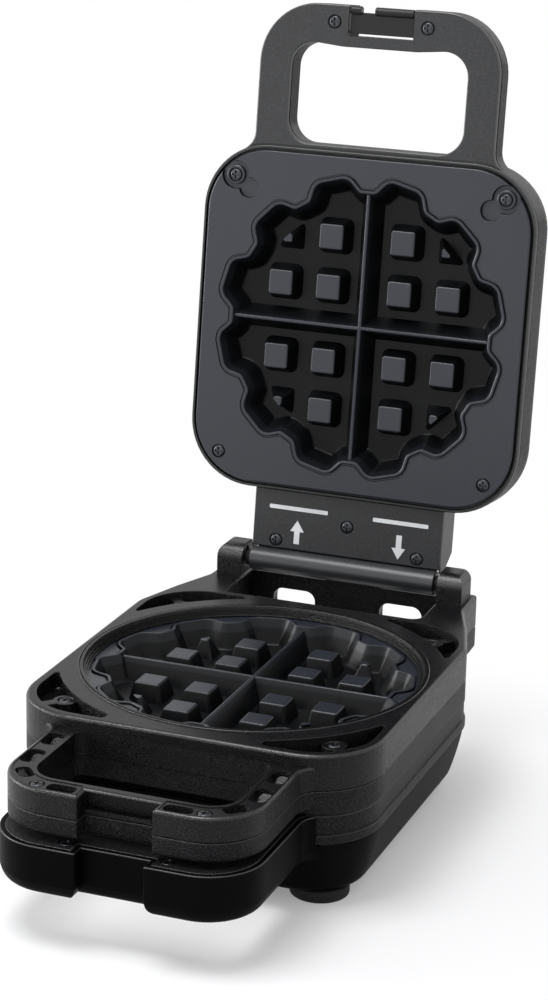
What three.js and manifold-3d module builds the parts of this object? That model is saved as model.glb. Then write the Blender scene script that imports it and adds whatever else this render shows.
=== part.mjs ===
// Rotating waffle maker, standing with its lid open and leaning a little back.
// Millimetres, +Z up, +Y to the back, the handles to the front.
// Three leaves share one plan, a rounded square with a loop handle in front:
// the base, the lower clam half on it and the lid, hinged in the lower half's two rear posts.

import * as THREE from 'three';
import { mergeVertices } from 'three/addons/utils/BufferGeometryUtils.js';
import Module from 'manifold-3d';

const wasm = await Module();
wasm.setup();

// Sizes used all over
const gap = 0.3;                    // between pieces that meet
const wall = 2.6;                   // moulded plastic shells
const overrun = 4;                  // of a cutter past the face it cuts
const cornerRadius = 38;            // of all three leaves, seen from above
const flareRadius = 12;             // hollow round where a loop handle leaves its leaf
const arcStep = 18;                 // degrees of arc for one straight stretch
const smallRound = 1;
const topRound = 2.2;

// Heights above the table
const footHeight = 6.7;
const tubHeight = 37;
const ledgeHeight = 42;
const baseTop = 53.3;
const clamBottom = 53.6;
const seamHeight = 67.2;            // between the clam's lower and upper shells
const plateFace = 81;               // of the lower waffle plate
const clamTop = 86.3;
const hingeHeight = 95;
const postTop = hingeHeight + 8.5;

// Lower clam half, seen from above
const clamHalf = 98;
const clamFront = clamHalf + 8;
const clamRear = clamHalf + 6;

// Lid's length and the hinge behind it
const lidHalfLong = clamHalf + 1.2;      // the lid is a rounded square, as the lower half is
const lidHingeGap = 42.5;           // from the hinge axis to the lid's lower edge
const hingeBack = lidHalfLong + lidHingeGap;    // from the plates' middle back to the hinge axis
const lidTop = hingeBack + lidHalfLong;

// Base
const baseHalf = clamHalf - 1;
const baseFront = clamFront - 1;
const baseRear = clamRear + 4;
const tubLevels = [[0, 11], [1.2, 9.2], [4, 7.4], [13, 4.6], [23, 2.2]];   // height over its floor, inset
const tubTopInset = 1;
const baseLoopHalf = clamHalf - 28.5;
const baseHandleReach = 83.5;
const baseLoopFront = clamFront + baseHandleReach;
const baseLoopBottom = 26;
const baseLoopLevels = [[0, 7], [1.5, 3.6], [4, 1.4], [8, 0]];
const baseLoopRim = 53;
const baseNotchHalf = 18;
const baseNotchDepth = 8;
const bandStep = 1;                 // the frame's band stands back above its ledge
const topPlate = 2.6;
const footRadius = 15.5;
const footX = baseHalf - 29;
const footY = baseFront - 28;
const footPlug = 5;
const baseScrewX = 26.8;
const baseScrewY = baseLoopFront - 9.8;
const bossRadius = 4.5;

// Lower clam half
const loopHalf = clamHalf - 30;
const handleReach = 77;
const loopFront = clamFront + handleReach;
const loopCorner = 30;
const loopTop = 80.3;
const loopBottom = 56.7;
const loopSkin = 5;
const loopBack = clamFront - 16;                // the loops run this far into their leaves
const openingHalf = loopHalf - 14.5;
const openingFront = loopFront - 15;
const openingBack = clamFront + 2;
const openingCorner = 15;
const notchHalf = 19.6;
const notchDepth = 9.5;
const lipHeight = 1.2;              // thin lip the latch hooks under
const lipReach = 4;
const recessLow = 70;
const topSkin = 6.5;
const collarRadius = clamHalf - 3.6;
const collarInner = clamHalf - 6.5;
const collarRise = 0.6;
const collarFoot = clamHalf - 9.4;
const armOuter = clamHalf - 21;
const postOuter = armOuter - 2;
const postInner = postOuter - 15.2;
const armInner = postInner - 1.1;
const armCorners = [[clamHalf, clamRear - 34, 20], [clamHalf - 10, clamRear - 2, 14],
  [clamHalf - 20, clamRear + 24, 14]];
const postFront = hingeBack - 9.7;
const postRear = hingeBack + 8.3;
const postRound = 9;
const postShoulder = 6;
const wallFront = postRear + gap;   // cross wall between the arms, behind the barrel
const wallThick = 6.7;
const armRear = wallFront + wallThick;
const wallTop = 84;
const windowOuter = armInner - 12.7;
const windowInner = windowOuter * 0.435;
const windowLow = 57.5;
const windowTop = 75.3;
const windowRound = 6;
const pocketDepth = 9.5;
const pocketSkin = 1.6;
const pocketX = clamHalf - 55;
const pocketY = clamHalf - 46;
const pocketEdge = 5.5;
const pocketRing = collarRadius + 9.9;
const clamScrewDrop = 3.2;          // the screws' bosses stand in the pockets, a little under the top
const clamBoss = 6.6;
const bossWeb = 6;                  // across the pocket, through the boss
const clamScrewX = clamHalf - 23.7;
const clamScrewY = clamFront - 27;
const clamScrewLength = 14;
const pillarRadius = 5;
const plateRestRadius = 3;
const loopScrewX = loopHalf - 24;
const loopScrewY = loopFront - 7;
const loopPillar = 3;
const gripPocketDepth = 3.4;
const gripPocketDraft = 0.8;
const gripArm = 61;                 // the two pockets on each arm of the handle lie this far forward
const gripPockets = [[loopHalf - 7, loopFront - gripArm, 4.6, 7.8, 0], [loopHalf - 7, loopFront - 37.5, 4.7, 8.3, 0],
  [loopHalf - 12.3, loopFront - 17.6, 4, 6.4, -42], [loopHalf - 37.3, loopFront - 6.4, 7.6, 4, 0]];
                                    // side, front, half width, half length, turn

// Waffle plates
const plateHalf = clamHalf - 1.5;
const plateHalfLong = lidHalfLong - 2.9;
const plateMargin = 1;              // open groove round the lid's plate
const plateCorner = 36;
const plateSheet = 2.5;
const cavityRadius = clamHalf - 12.3;   // at the lobes' corners
const notchRadius = cavityRadius - 8.7;
const cavityDepth = 13;
const cavityDraft = 6.5;            // the floor's outline stands in by this
const beadWidth = 1.8;
const beadHeight = 1;
const lobeCount = 12;
const notchShare = 0.12;            // of one lobe's pitch, on either side of the notch
const lobeShare = 0.28;
const pinInner = cavityRadius / 4;      // the pattern keeps to the cavity's size
const pinOuter = cavityRadius * 0.587;
const pinTop = cavityRadius * 0.163;
const pinBase = cavityRadius * 0.251;
const pinDrop = 3.1;                // pin tops below the plate's face
const wedgeNear = cavityRadius * 0.467;
const wedgeFar = cavityRadius * 0.677;
const wedgeTopNear = cavityRadius * 0.526;      // its top stands over the long side
const wedgeTopFar = cavityRadius * 0.6;
const ridgeReach = notchRadius - 1;
const ridgeBase = 13.5;
const ridgeTop = 1.8;
const ridgeDrop = 0.9;
const flangeRadius = clamHalf - 5.5;
const plateSides = 44;

// Lid, measured up from the hinge axis and forward of it
const lean = 7.25;                  // degrees past upright
const lidFace = 3.8;
const lidHalf = clamHalf + 1.4;
const lidCorner = 38;
const rimTop = 2.6;
const ledgeTop = 1;
const ledgeLow = -1;
const ledgeWidth = 4.5;
const lidBack = -31.2;
const lidBackLevels = [[0, 10], [1.2, 5.5], [3.7, 2.4], [8.2, 0.6], [14.2, 0]];
const lidScrewX = plateHalf - 15.8;
const lidScrewY = plateHalfLong - 15.6;
const keyholeX = plateHalf - 24.2;
const keyholeY = plateHalfLong - 22.3;
const keyholeRadius = 5.8;
const keyholeRing = 8;              // recess round the screw, open towards the keyhole
const keyholeLand = 5.2;
const keyholeDepth = 1.3;
const archHalf = loopHalf + 3;
const archReach = 81.6;
const archTop = lidTop + archReach;
const archCorner = 34;
const archFace = 2.5;
const archBack = -2.5;
const archRear = -17;
const archInner = archHalf - 18.5;
const archOpen = [[archInner, lidTop + 2.8, 14], [archInner, archTop - 20.5, 14], [22, archTop - 23.3, 20]];
const slotHalf = 19.3;
const slotLow = archTop - 17.1;
const archScrewX = slotHalf + 8.2;
const archScrewY = archTop - 9.8;

// Hinge
const barrelRadius = 7;
const barrelHalf = postInner - 3.3;
const shaftRadius = 2.5;
const shaftHalf = postOuter - 3;
const slotEnd = postOuter - 2.5;
const slideTravel = 4;
const spacerRadius = 4.6;
const tabHalf = barrelHalf - 6.5;
const tabLow = 2.5;
const tabHigh = 19;
const bracketHalf = barrelHalf + 1.3;
const bracketFace = -1.4;
const bracketWall = 3;
const bracketSide = 2.5;
const bracketTop = lidHingeGap - 0.5;
const bracketProfile = [[7.3, -14], [14, -24], [bracketTop, -24], [bracketTop, -1.4], [7.3, -1.4]];   // up, forward
const bracketHollow = [[0, -12.4], [7, -12.4], [14.6, -21.9], [60, -21.9], [60, -4.4], [0, -4.4]];
const bracketScrewX = tabHalf - 6.7;
const bracketScrewLow = 11.9;
const bracketScrewHigh = 24.9;
const tongueLow = 20.5;
const tongueHalf = tabHalf - 2;
const tongueBack = -10;

// Latch
const latchPivot = archTop - 2.7;
const latchHalf = slotHalf - 0.6;
const latchTip = archTop - 15.6;
const latchNeck = archTop - 3.7;
const latchThick = 1.5;             // half of its plate
const knuckleRadius = 2.5;
const knuckleGap = [-12.2, -4.2];
const noseReach = 7;
const noseThick = 1.4;
const noseSlant = 1.6;              // the nose's tip slants, so that it swings clear of the slot
const noseTip = 0.7;
const latchPinRadius = 1.2;
const latchPinEnd = slotHalf + 2.4;

// Rear pivot of the clam on the base, and the swivel above it
const pivotBack = armRear + 9;
const pivotHeight = 44;
const pivotRadius = 3;
const pivotHalf = 36;
const lugRadius = 8.5;
const lugInner = 24;
const lugOuter = 34;
const lugFront = baseRear - 16;
const lugLow = 38;
const clipRadius = 5;
const swivelHeight = hingeHeight - 6.3;
const swivelShaftRadius = 4;
const swivelFront = wallFront + 1.2;
const bushFlange = [armRear + gap, armRear + 2];
const towerFront = armRear + 2 + gap;
const towerRear = towerFront + 11.7;
const swivelEnd = towerRear + 8;
const towerHalf = 14;
const towerTop = swivelHeight + 8.8;
const bushRadius = 6.5;
const washerEnd = towerRear + 1.5;
const nutEnd = washerEnd + 4.5;
const nutRadius = 7.5;
const bossHalf = 14;
const bossTop = swivelHeight + 8.3;
const bossRound = 9;

// Screws, heating and fittings
const headRadius = 3.4;
const headHeight = 1.4;
const seatDepth = 1.6;
const shankRadius = 1.5;
const screwLength = 9;
const heaterRadius = cavityRadius - 23.7;
const heaterTube = 3.2;
const heaterTail = cavityRadius - 11.7;
const heaterTailHalf = 7;
const shieldRadius = cavityRadius - 5.7;
const shieldSheet = 1;
const shieldRim = 2.5;
const shieldRib = [40, 44];
const thermostatRadius = 9;
const fuseRadius = 2.5;
const fuseSpan = [28, 44];
const shieldPost = shieldRadius - 30;
const lensRadius = 4;
const lensX = 9;
const lensY = 40;
const glandX = -40;
const glandHeight = 22;
const glandBody = 6.5;
const glandFlange = 9;
const glandBore = 3.5;
const glandSpan = [baseRear - 10, baseRear - 1.7, baseRear + 1.5];
const blockX = [21 - baseHalf, 51 - baseHalf];
const blockY = [baseRear - 46, baseRear - 28];
const blockHeight = 13;
const blockHole = 2.4;

const radians = THREE.MathUtils.degToRad;

// Outlines are lists of corners, each with its place and radius, going round anticlockwise
function corneredTurn(corners, i) {
  const [x, y] = corners[i];
  const before = corners[(i + corners.length - 1) % corners.length];
  const after = corners[(i + 1) % corners.length];
  const into = new THREE.Vector2(x - before[0], y - before[1]).normalize();
  const out = new THREE.Vector2(after[0] - x, after[1] - y).normalize();
  return { into, out, turn: Math.atan2(into.cross(out), into.dot(out)) };
}

function roundedOutline(corners, step = arcStep) {
  const points = [];
  corners.forEach(([x, y, radius = 0], i) => {
    const { into, turn } = corneredTurn(corners, i);
    if (radius === 0) {
      points.push([x, y]);
      return;
    }
    const side = Math.sign(turn);
    const back = radius * Math.tan(Math.abs(turn) / 2);
    const centreX = x - into.x * back - into.y * side * radius;
    const centreY = y - into.y * back + into.x * side * radius;
    const first = Math.atan2(-into.x * side, into.y * side);
    const count = Math.max(1, Math.round(Math.abs(turn) / radians(step)));
    for (let k = 0; k <= count; k++) {
      const angle = first + turn * k / count;
      points.push([centreX + radius * Math.cos(angle), centreY + radius * Math.sin(angle)]);
    }
  });
  return points;
}

// Moves every edge inwards by a distance; a negative distance moves them out
function inset(corners, distance) {
  return corners.map(([x, y, radius = 0], i) => {
    const { into, out, turn } = corneredTurn(corners, i);
    const normal = new THREE.Vector2(-into.y - out.y, into.x + out.x).normalize();
    const reach = distance / Math.cos(turn / 2);
    const kept = turn > 0 ? Math.max(radius - distance, radius / 20) : Math.max(radius + distance, radius / 20);
    return [x + normal.x * reach, y + normal.y * reach, radius === 0 ? 0 : kept];
  });
}

function mirrorCorners(half) {
  const other = half.map(([x, y, radius]) => [-x, y, radius]).reverse();
  return [...half, ...other];
}

function rectangle(x0, y0, x1, y1, radius = 0) {
  return [[x1, y0, radius], [x1, y1, radius], [x0, y1, radius], [x0, y0, radius]];
}

function circle(radius, x = 0, y = 0, sides = 16) {
  return Array.from({ length: sides }, (_, k) => {
    const angle = 2 * Math.PI * k / sides;
    return [x + radius * Math.cos(angle), y + radius * Math.sin(angle)];
  });
}

// Solids
function solidFrom(geometry) {
  geometry.deleteAttribute('normal');
  geometry.deleteAttribute('uv');
  const merged = mergeVertices(geometry);
  return new wasm.Manifold(new wasm.Mesh({
    numProp: 3,
    vertProperties: new Float32Array(merged.attributes.position.array),
    triVerts: new Uint32Array(merged.index.array),
  }));
}

function geometryFrom(solid) {
  const mesh = solid.getMesh();
  const geometry = new THREE.BufferGeometry();
  geometry.setAttribute('position', new THREE.BufferAttribute(new Float32Array(mesh.vertProperties), 3));
  geometry.setIndex(new THREE.BufferAttribute(new Uint32Array(mesh.triVerts), 1));
  geometry.computeVertexNormals();
  return geometry;
}

// A stack of outlines with the same number of points, closed at both ends
function loft(levels) {
  const count = levels[0].outline.length;
  const positions = levels.flatMap(({ z, outline }) => outline.flatMap(([x, y]) => [x, y, z]));
  const index = [];
  for (let level = 0; level < levels.length - 1; level++) {
    for (let i = 0; i < count; i++) {
      const low = level * count + i;
      const lowNext = level * count + (i + 1) % count;
      index.push(low, lowNext, lowNext + count, low, lowNext + count, low + count);
    }
  }
  const capOf = (outline) => THREE.ShapeUtils.triangulateShape(
    outline.map(([x, y]) => new THREE.Vector2(x, y)), []);
  const top = (levels.length - 1) * count;
  for (const [a, b, c] of capOf(levels[0].outline)) index.push(a, c, b);
  for (const [a, b, c] of capOf(levels.at(-1).outline)) index.push(top + a, top + b, top + c);
  const geometry = new THREE.BufferGeometry();
  geometry.setAttribute('position', new THREE.Float32BufferAttribute(positions, 3));
  geometry.setIndex(index);
  return solidFrom(geometry);
}

// Levels are pairs of a height and how far the corners are moved in there
function stack(corners, levels, step) {
  return loft(levels.map(([z, distance]) => ({
    z, outline: roundedOutline(distance === 0 ? corners : inset(corners, distance), step),
  })));
}

function lifted(levels, z) {
  return levels.map(([height, distance]) => [z + height, distance]);
}

function prism(corners, z0, z1, step) {
  return stack(corners, [[z0, 0], [z1, 0]], step);
}

function box(x0, y0, z0, x1, y1, z1) {
  return prism(rectangle(x0, y0, x1, y1), z0, z1);
}

function disc(radius, z0, z1, x = 0, y = 0, sides = 16) {
  const outline = circle(radius, x, y, sides);
  return loft([{ z: z0, outline }, { z: z1, outline }]);
}

// A round column from pairs of a height and a radius
function column(levels, x = 0, y = 0, sides = 16) {
  return loft(levels.map(([z, radius]) => ({ z, outline: circle(radius, x, y, sides) })));
}

// Swept along X from corners given as back and up
function sideways(corners, x0, x1, step) {
  return prism(corners, x0, x1, step).rotate([90, 0, 90]);
}

// Swept along Y from corners given as right and up
function lengthways(corners, y0, y1, step) {
  return prism(corners, -y1, -y0, step).rotate([90, 0, 0]);
}

function rod(radius, x0, x1, y, z, sides = 12) {
  return disc(radius, x0, x1, y, z, sides).rotate([90, 0, 90]);
}

function rodAlongY(radius, y0, y1, x, z, sides = 16) {
  return disc(radius, -y1, -y0, x, z, sides).rotate([90, 0, 0]);
}

function withMirror(solid) {
  return solid.add(solid.mirror([1, 0, 0]));
}

function sumOf(solids) {
  return solids.reduce((sum, solid) => sum.add(solid));
}

// Materials
function finish(color, roughness, metalness = 0) {
  return () => new THREE.MeshStandardMaterial({ color, roughness, metalness });
}
const satinBlack = finish(0x1b1b1d, 0.42);
const grainBlack = finish(0x2a2b2d, 0.6);
const nonStick = finish(0x2b2d31, 0.34, 0.25);
const steel = finish(0xb9bcc0, 0.3, 0.9);
const blackSteel = finish(0x2f3033, 0.35, 0.7);
const rubber = finish(0x141414, 0.85);
const ceramic = finish(0xd8d2c4, 0.7);
const redLens = finish(0x9c1a14, 0.2);
const greenLens = finish(0x1c7a34, 0.2);

function piece(name, solid, material, group) {
  const mesh = new THREE.Mesh(geometryFrom(solid), material());
  mesh.name = name;
  group.add(mesh);
}

// Screws: pan heads lie in round seats, just over the face they hold
function screwTop(face) {
  return face - seatDepth + gap + headHeight;
}

function screw(name, x, y, face, group, length = screwLength) {
  const top = screwTop(face);
  const under = top - headHeight;
  const shank = disc(shankRadius, under - length, under + headHeight / 2, x, y, 8);
  const head = column([[under, headRadius], [top - headHeight / 2, headRadius], [top, headRadius * 0.8]], x, y, 12);
  const long = headRadius * 0.52;
  const thin = headRadius * 0.14;
  const low = top - headHeight * 0.6;
  const cross = box(x - long, y - thin, low, x + long, y + thin, top + overrun)
    .add(box(x - thin, y - long, low, x + thin, y + long, top + overrun));
  piece(name, shank.add(head).subtract(cross), blackSteel, group);
}

function screwCut(x, y, face, depth = screwLength + seatDepth) {
  return disc(headRadius + gap, face - seatDepth, face + overrun, x, y, 14)
    .add(disc(shankRadius + gap, face - depth, face, x, y, 8));
}

const sides = [['left', -1], ['right', 1]];
const ends = [['front', -1], ['rear', 1]];

// Plans of the leaves
const basePlan = mirrorCorners([[baseHalf, -baseFront, cornerRadius], [baseHalf, baseRear, cornerRadius]]);
const clamPlan = mirrorCorners([[clamHalf, -clamFront, cornerRadius], ...armCorners,
  [armOuter, armRear, smallRound], [armInner, armRear, smallRound], [armInner, clamRear, postShoulder]]);
const loopPlan = (half, front, notch, depth) => mirrorCorners([
  [notch, -front + depth, 0], [notch, -front, smallRound], [half, -front, loopCorner], [half, -loopBack, 0]]);
const baseLoop = loopPlan(baseLoopHalf, baseLoopFront, baseNotchHalf, baseNotchDepth);
const clamLoop = loopPlan(loopHalf, loopFront, notchHalf, notchDepth);
const opening = mirrorCorners([[openingHalf, -openingFront, openingCorner],
  [openingHalf, -openingBack, postShoulder]]);

// Hollow rounds between a leaf's front corners and the sides of its loop handle
function flares(half, front, loopSide, levels) {
  const middleX = half - cornerRadius;
  const middleY = cornerRadius - front;
  const side = loopSide + flareRadius - middleX;
  const down = Math.sqrt((cornerRadius + flareRadius) ** 2 - side ** 2);
  const count = 5;
  const sweep = Math.atan2(down, side);
  const outline = (distance) => {
    const arc = Array.from({ length: count + 1 }, (_, k) => {
      const angle = Math.PI - sweep * k / count;
      return [loopSide + flareRadius + (flareRadius + distance) * Math.cos(angle),
        middleY - down + (flareRadius + distance) * Math.sin(angle)];
    });
    return [...arc, [middleX, middleY], [middleX, middleY - down]];
  };
  return withMirror(loft(levels.map(([z, distance]) => ({ z, outline: outline(distance) }))));
}

function openingCut(spread, z0, z1) {
  return prism(spread === 0 ? opening : inset(opening, -spread), z0, z1);
}

// Room inside a loop handle, between its outer wall and the wall round the opening
function loopHollow(loop, skin, notch, z0, z1) {
  return prism(inset(loop, skin), z0, z1)
    .subtract(openingCut(skin, z0 - overrun, z1 + overrun))
    .subtract(box(-notch - skin, -baseLoopFront - overrun, z0 - overrun, notch + skin, -openingFront, z1 + overrun))
    .subtract(box(-clamHalf, -openingBack, z0 - overrun, clamHalf, 0, z1 + overrun));
}

// Scalloped outline of the cavity, moved out or in by a distance
function scallop(distance) {
  const pitch = 360 / lobeCount;
  const spots = [[-notchShare, notchRadius], [notchShare, notchRadius],
    [lobeShare, cavityRadius], [1 - lobeShare, cavityRadius]];
  return Array.from({ length: lobeCount }, (_, lobe) => spots.map(([share, radius]) => {
    const angle = radians(pitch * (lobe + share));
    return [(radius + distance) * Math.cos(angle), (radius + distance) * Math.sin(angle)];
  })).flat();
}

function frustum(x, y, base, top, z0, z1) {
  return loft([
    { z: z0, outline: rectangle(x - base / 2, y - base / 2, x + base / 2, y + base / 2) },
    { z: z1, outline: rectangle(x - top / 2, y - top / 2, x + top / 2, y + top / 2) },
  ]);
}

// Cavity with its bead, pins, wedges and cross, face at z = 0
function waffleDish(flange) {
  const floor = -cavityDepth;
  const shell = loft([{ z: floor - plateSheet, outline: scallop(-cavityDraft) },
    { z: -plateSheet, outline: scallop(plateSheet) }, { z: 0, outline: scallop(beadWidth) },
    { z: beadHeight, outline: scallop(beadWidth / 2) }]);
  const room = loft([{ z: floor, outline: scallop(-cavityDraft) }, { z: beadHeight, outline: scallop(0) },
    { z: beadHeight + overrun, outline: scallop(0) }]);
  const low = floor - plateSheet / 2;
  const pins = [[pinInner, pinInner], [pinOuter, pinInner], [pinInner, pinOuter]]
    .flatMap(([x, y]) => [[x, y], [-x, y], [x, -y], [-x, -y]])
    .map(([x, y]) => frustum(x, y, pinBase, pinTop, low, -pinDrop));
  const wedgeOutline = (near, far) => [[near, near], [far, near], [near, far]];
  const wedge = loft([{ z: low, outline: wedgeOutline(wedgeNear, wedgeFar) },
    { z: -pinDrop, outline: wedgeOutline(wedgeTopNear, wedgeTopFar) }]);
  const wedgePair = withMirror(wedge);
  const ridge = loft([{ z: low, outline: rectangle(-ridgeReach, -ridgeBase / 2, ridgeReach, ridgeBase / 2) },
    { z: -ridgeDrop, outline: rectangle(-ridgeReach, -ridgeTop / 2, ridgeReach, ridgeTop / 2) }]);
  const inside = sumOf([...pins, wedgePair, wedgePair.mirror([0, 1, 0]), ridge, ridge.rotate([0, 0, 90])]);
  return flange.add(shell).subtract(room).add(inside);
}

// Bent tube with its two ends to the back, middle of the tube at z = 0
function heaterLoop() {
  const start = Math.asin(heaterTailHalf / heaterRadius);
  const count = 24;
  const points = [new THREE.Vector3(heaterTailHalf, heaterTail, 0)];
  for (let k = 0; k <= count; k++) {
    const angle = start + (2 * Math.PI - 2 * start) * k / count;
    points.push(new THREE.Vector3(heaterRadius * Math.sin(angle), heaterRadius * Math.cos(angle), 0));
  }
  points.push(new THREE.Vector3(-heaterTailHalf, heaterTail, 0));
  const path = new THREE.CatmullRomCurve3(points, false, 'centripetal');
  const section = new THREE.Shape(circle(heaterTube, 0, 0, 6).map(([x, y]) => new THREE.Vector2(x, y)));
  return solidFrom(new THREE.ExtrudeGeometry(section, { steps: 40, extrudePath: path, bevelEnabled: false }));
}

// Thin dish under the heater, its top at z = 0
function shieldDish() {
  return disc(shieldRadius, -shieldSheet, shieldRim, 0, 0, plateSides)
    .subtract(disc(shieldRadius - shieldSheet, 0, shieldRim + overrun, 0, 0, plateSides));
}

// Base: smooth tub below, band with the top plate above
function buildBase(group) {
  const floor = footHeight + gap;
  const tubShape = [...lifted(tubLevels, floor), [tubHeight, tubTopInset]];
  const tubRoom = tubShape.map(([z, distance], i) => [i === 0 ? z + wall : z, distance + wall])
    .filter(([z], i) => i === 0 || z > floor + wall);
  const troughShape = [...lifted(baseLoopLevels, baseLoopBottom), [baseLoopRim, 0]];
  const flareOf = (levels) => flares(baseHalf, baseFront, baseLoopHalf, levels);
  const trough = stack(baseLoop, troughShape)
    .add(flareOf(troughShape))
    .subtract(prism(inset(basePlan, -gap), tubHeight, baseTop + overrun));
  const bosses = withMirror(disc(bossRadius, baseLoopBottom + wall / 2, baseTop - topPlate - gap,
    baseScrewX, -baseScrewY));
  const feet = ends.flatMap(([, y]) => sides.map(([, x]) => [x * footX, y * footY]));
  const tub = stack(basePlan, tubShape)
    .subtract(stack(basePlan, [...tubRoom, [tubHeight + overrun, tubTopInset + wall]]))
    .add(trough.subtract(prism(inset(basePlan, tubTopInset + wall), 0, baseTop)))
    .subtract(openingCut(0, 0, baseTop))
    .subtract(loopHollow(baseLoop, wall, baseNotchHalf, baseLoopBottom + wall, baseTop + overrun))
    .subtract(prism(inset(baseLoop, wall), baseTop - topPlate - gap, baseTop + overrun)
      .add(flareOf([[baseTop - topPlate - gap, wall], [baseTop + overrun, wall]]))
      .subtract(openingCut(wall, 0, baseTop * 2)))
    .add(bosses)
    .subtract(withMirror(screwCut(baseScrewX, -baseScrewY, baseTop)))
    .subtract(sumOf(feet.map(([x, y]) => disc(footPlug + gap, 0, floor + wall + overrun, x, y, 12))))
    .subtract(rodAlongY(glandBody + gap, glandSpan[0] - overrun, glandSpan[2] + overrun, glandX, glandHeight));
  piece('base_tub', tub, satinBlack, group);

  const bandLow = tubHeight + gap;
  const armRoot = [[lugFront, lugLow], [pivotBack, lugLow], [pivotBack, baseTop - smallRound],
    [lugFront, baseTop - smallRound]];
  const arm = (z) => sideways(armRoot, lugInner, lugOuter)
    .add(rod(lugRadius, lugInner, lugOuter, pivotBack, z, 20))
    .subtract(rod(pivotRadius + gap, 0, baseHalf, pivotBack, z));
  const inner = wall + gap;
  const loopLidShape = [[baseTop - topPlate, inner], [baseTop - smallRound / 2, inner],
    [baseTop, inner + smallRound / 2]];
  const loopLid = stack(baseLoop, loopLidShape)
    .add(flareOf(loopLidShape))
    .subtract(openingCut(inner, 0, baseTop + overrun));
  const frame = stack(basePlan, [[bandLow, 0], [ledgeHeight, 0], [ledgeHeight + smallRound, bandStep],
    [baseTop - topRound, bandStep], [baseTop - smallRound / 2, bandStep + smallRound / 2],
    [baseTop, bandStep + topRound]])
    .subtract(prism(inset(basePlan, bandStep + wall), bandLow - overrun, baseTop - topPlate))
    .add(loopLid)
    .add(withMirror(arm(pivotHeight)))
    .subtract(withMirror(screwCut(baseScrewX, -baseScrewY, baseTop)));
  piece('base_frame', frame, grainBlack, group);

  for (const [side, x] of sides) {
    for (const [end, y] of ends) {
      piece(`foot_${end}_${side}`, column([[0, footRadius - smallRound], [smallRound, footRadius],
        [footHeight, footRadius]], x * footX, y * footY, 24)
        .add(disc(footPlug, footHeight / 2, floor + wall, x * footX, y * footY, 12)), rubber, group);
    }
    screw(`base_handle_screw_${side}`, x * baseScrewX, -baseScrewY, baseTop, group);
  }
  piece('base_hinge_pin', rod(pivotRadius, -pivotHalf, pivotHalf, pivotBack, pivotHeight)
    .add(rod(clipRadius, -pivotHalf, -lugOuter - gap, pivotBack, pivotHeight)), steel, group);
  piece('base_hinge_clip', rod(clipRadius, lugOuter + gap, pivotHalf - gap, pivotBack, pivotHeight)
    .subtract(rod(pivotRadius + gap / 2, 0, baseHalf, pivotBack, pivotHeight)), steel, group);

  const [glandFront, flangeFront, glandEnd] = glandSpan;
  piece('cord_inlet_gland', rodAlongY(glandBody, glandFront, glandEnd, glandX, glandHeight)
    .add(rodAlongY(glandFlange, flangeFront, glandEnd, glandX, glandHeight))
    .subtract(rodAlongY(glandBore, 0, baseRear * 2, glandX, glandHeight)), rubber, group);
  const blockFloor = floor + wall + gap;
  const blockMiddle = (blockY[0] + blockY[1]) / 2;
  const holes = [1, 3, 5].map((k) => rodAlongY(blockHole, 0, baseRear,
    blockX[0] + (blockX[1] - blockX[0]) * k / 6, blockFloor + blockHeight / 2, 12));
  piece('terminal_block', box(blockX[0], blockY[0], blockFloor, blockX[1], blockY[1], blockFloor + blockHeight)
    .subtract(sumOf(holes))
    .add(box(blockX[0], blockMiddle - smallRound, blockFloor, blockX[1], blockMiddle + smallRound,
      blockFloor + blockHeight)), ceramic, group);
}

// Rear yoke on the base's pin, with the swivel shaft through its tower
function buildSwivel(group) {
  const towerProfile = [[towerFront, pivotHeight], [towerRear, pivotHeight], [towerRear, towerTop, smallRound],
    [towerFront, towerTop, smallRound]];
  const yoke = sideways(towerProfile, -towerHalf, towerHalf)
    .add(rod(lugRadius, -lugInner + gap, lugInner - gap, pivotBack, pivotHeight, 20))
    .subtract(rod(pivotRadius + gap, -lugInner - overrun, lugInner + overrun, pivotBack, pivotHeight))
    .subtract(rodAlongY(bushRadius + gap, 0, baseRear * 2, 0, swivelHeight));
  piece('swivel_yoke', yoke, blackSteel, group);
  const bore = () => rodAlongY(swivelShaftRadius + gap, 0, baseRear * 2, 0, swivelHeight);
  piece('swivel_shaft', rodAlongY(swivelShaftRadius, swivelFront, swivelEnd, 0, swivelHeight), steel, group);
  piece('swivel_bush', rodAlongY(bushRadius, bushFlange[0], towerRear, 0, swivelHeight)
    .add(rodAlongY(bushRadius + topRound, bushFlange[0], bushFlange[1], 0, swivelHeight)).subtract(bore()),
  steel, group);
  piece('swivel_washer', rodAlongY(nutRadius, towerRear + gap, washerEnd, 0, swivelHeight).subtract(bore()),
    steel, group);
  piece('swivel_nut', rodAlongY(nutRadius, washerEnd + gap, nutEnd, 0, swivelHeight, 6).subtract(bore()),
    steel, group);
}

const screwSpots = sides.flatMap(([side, x]) => ends.map(([end, y]) => [`${end}_${side}`, x, y]));

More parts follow.
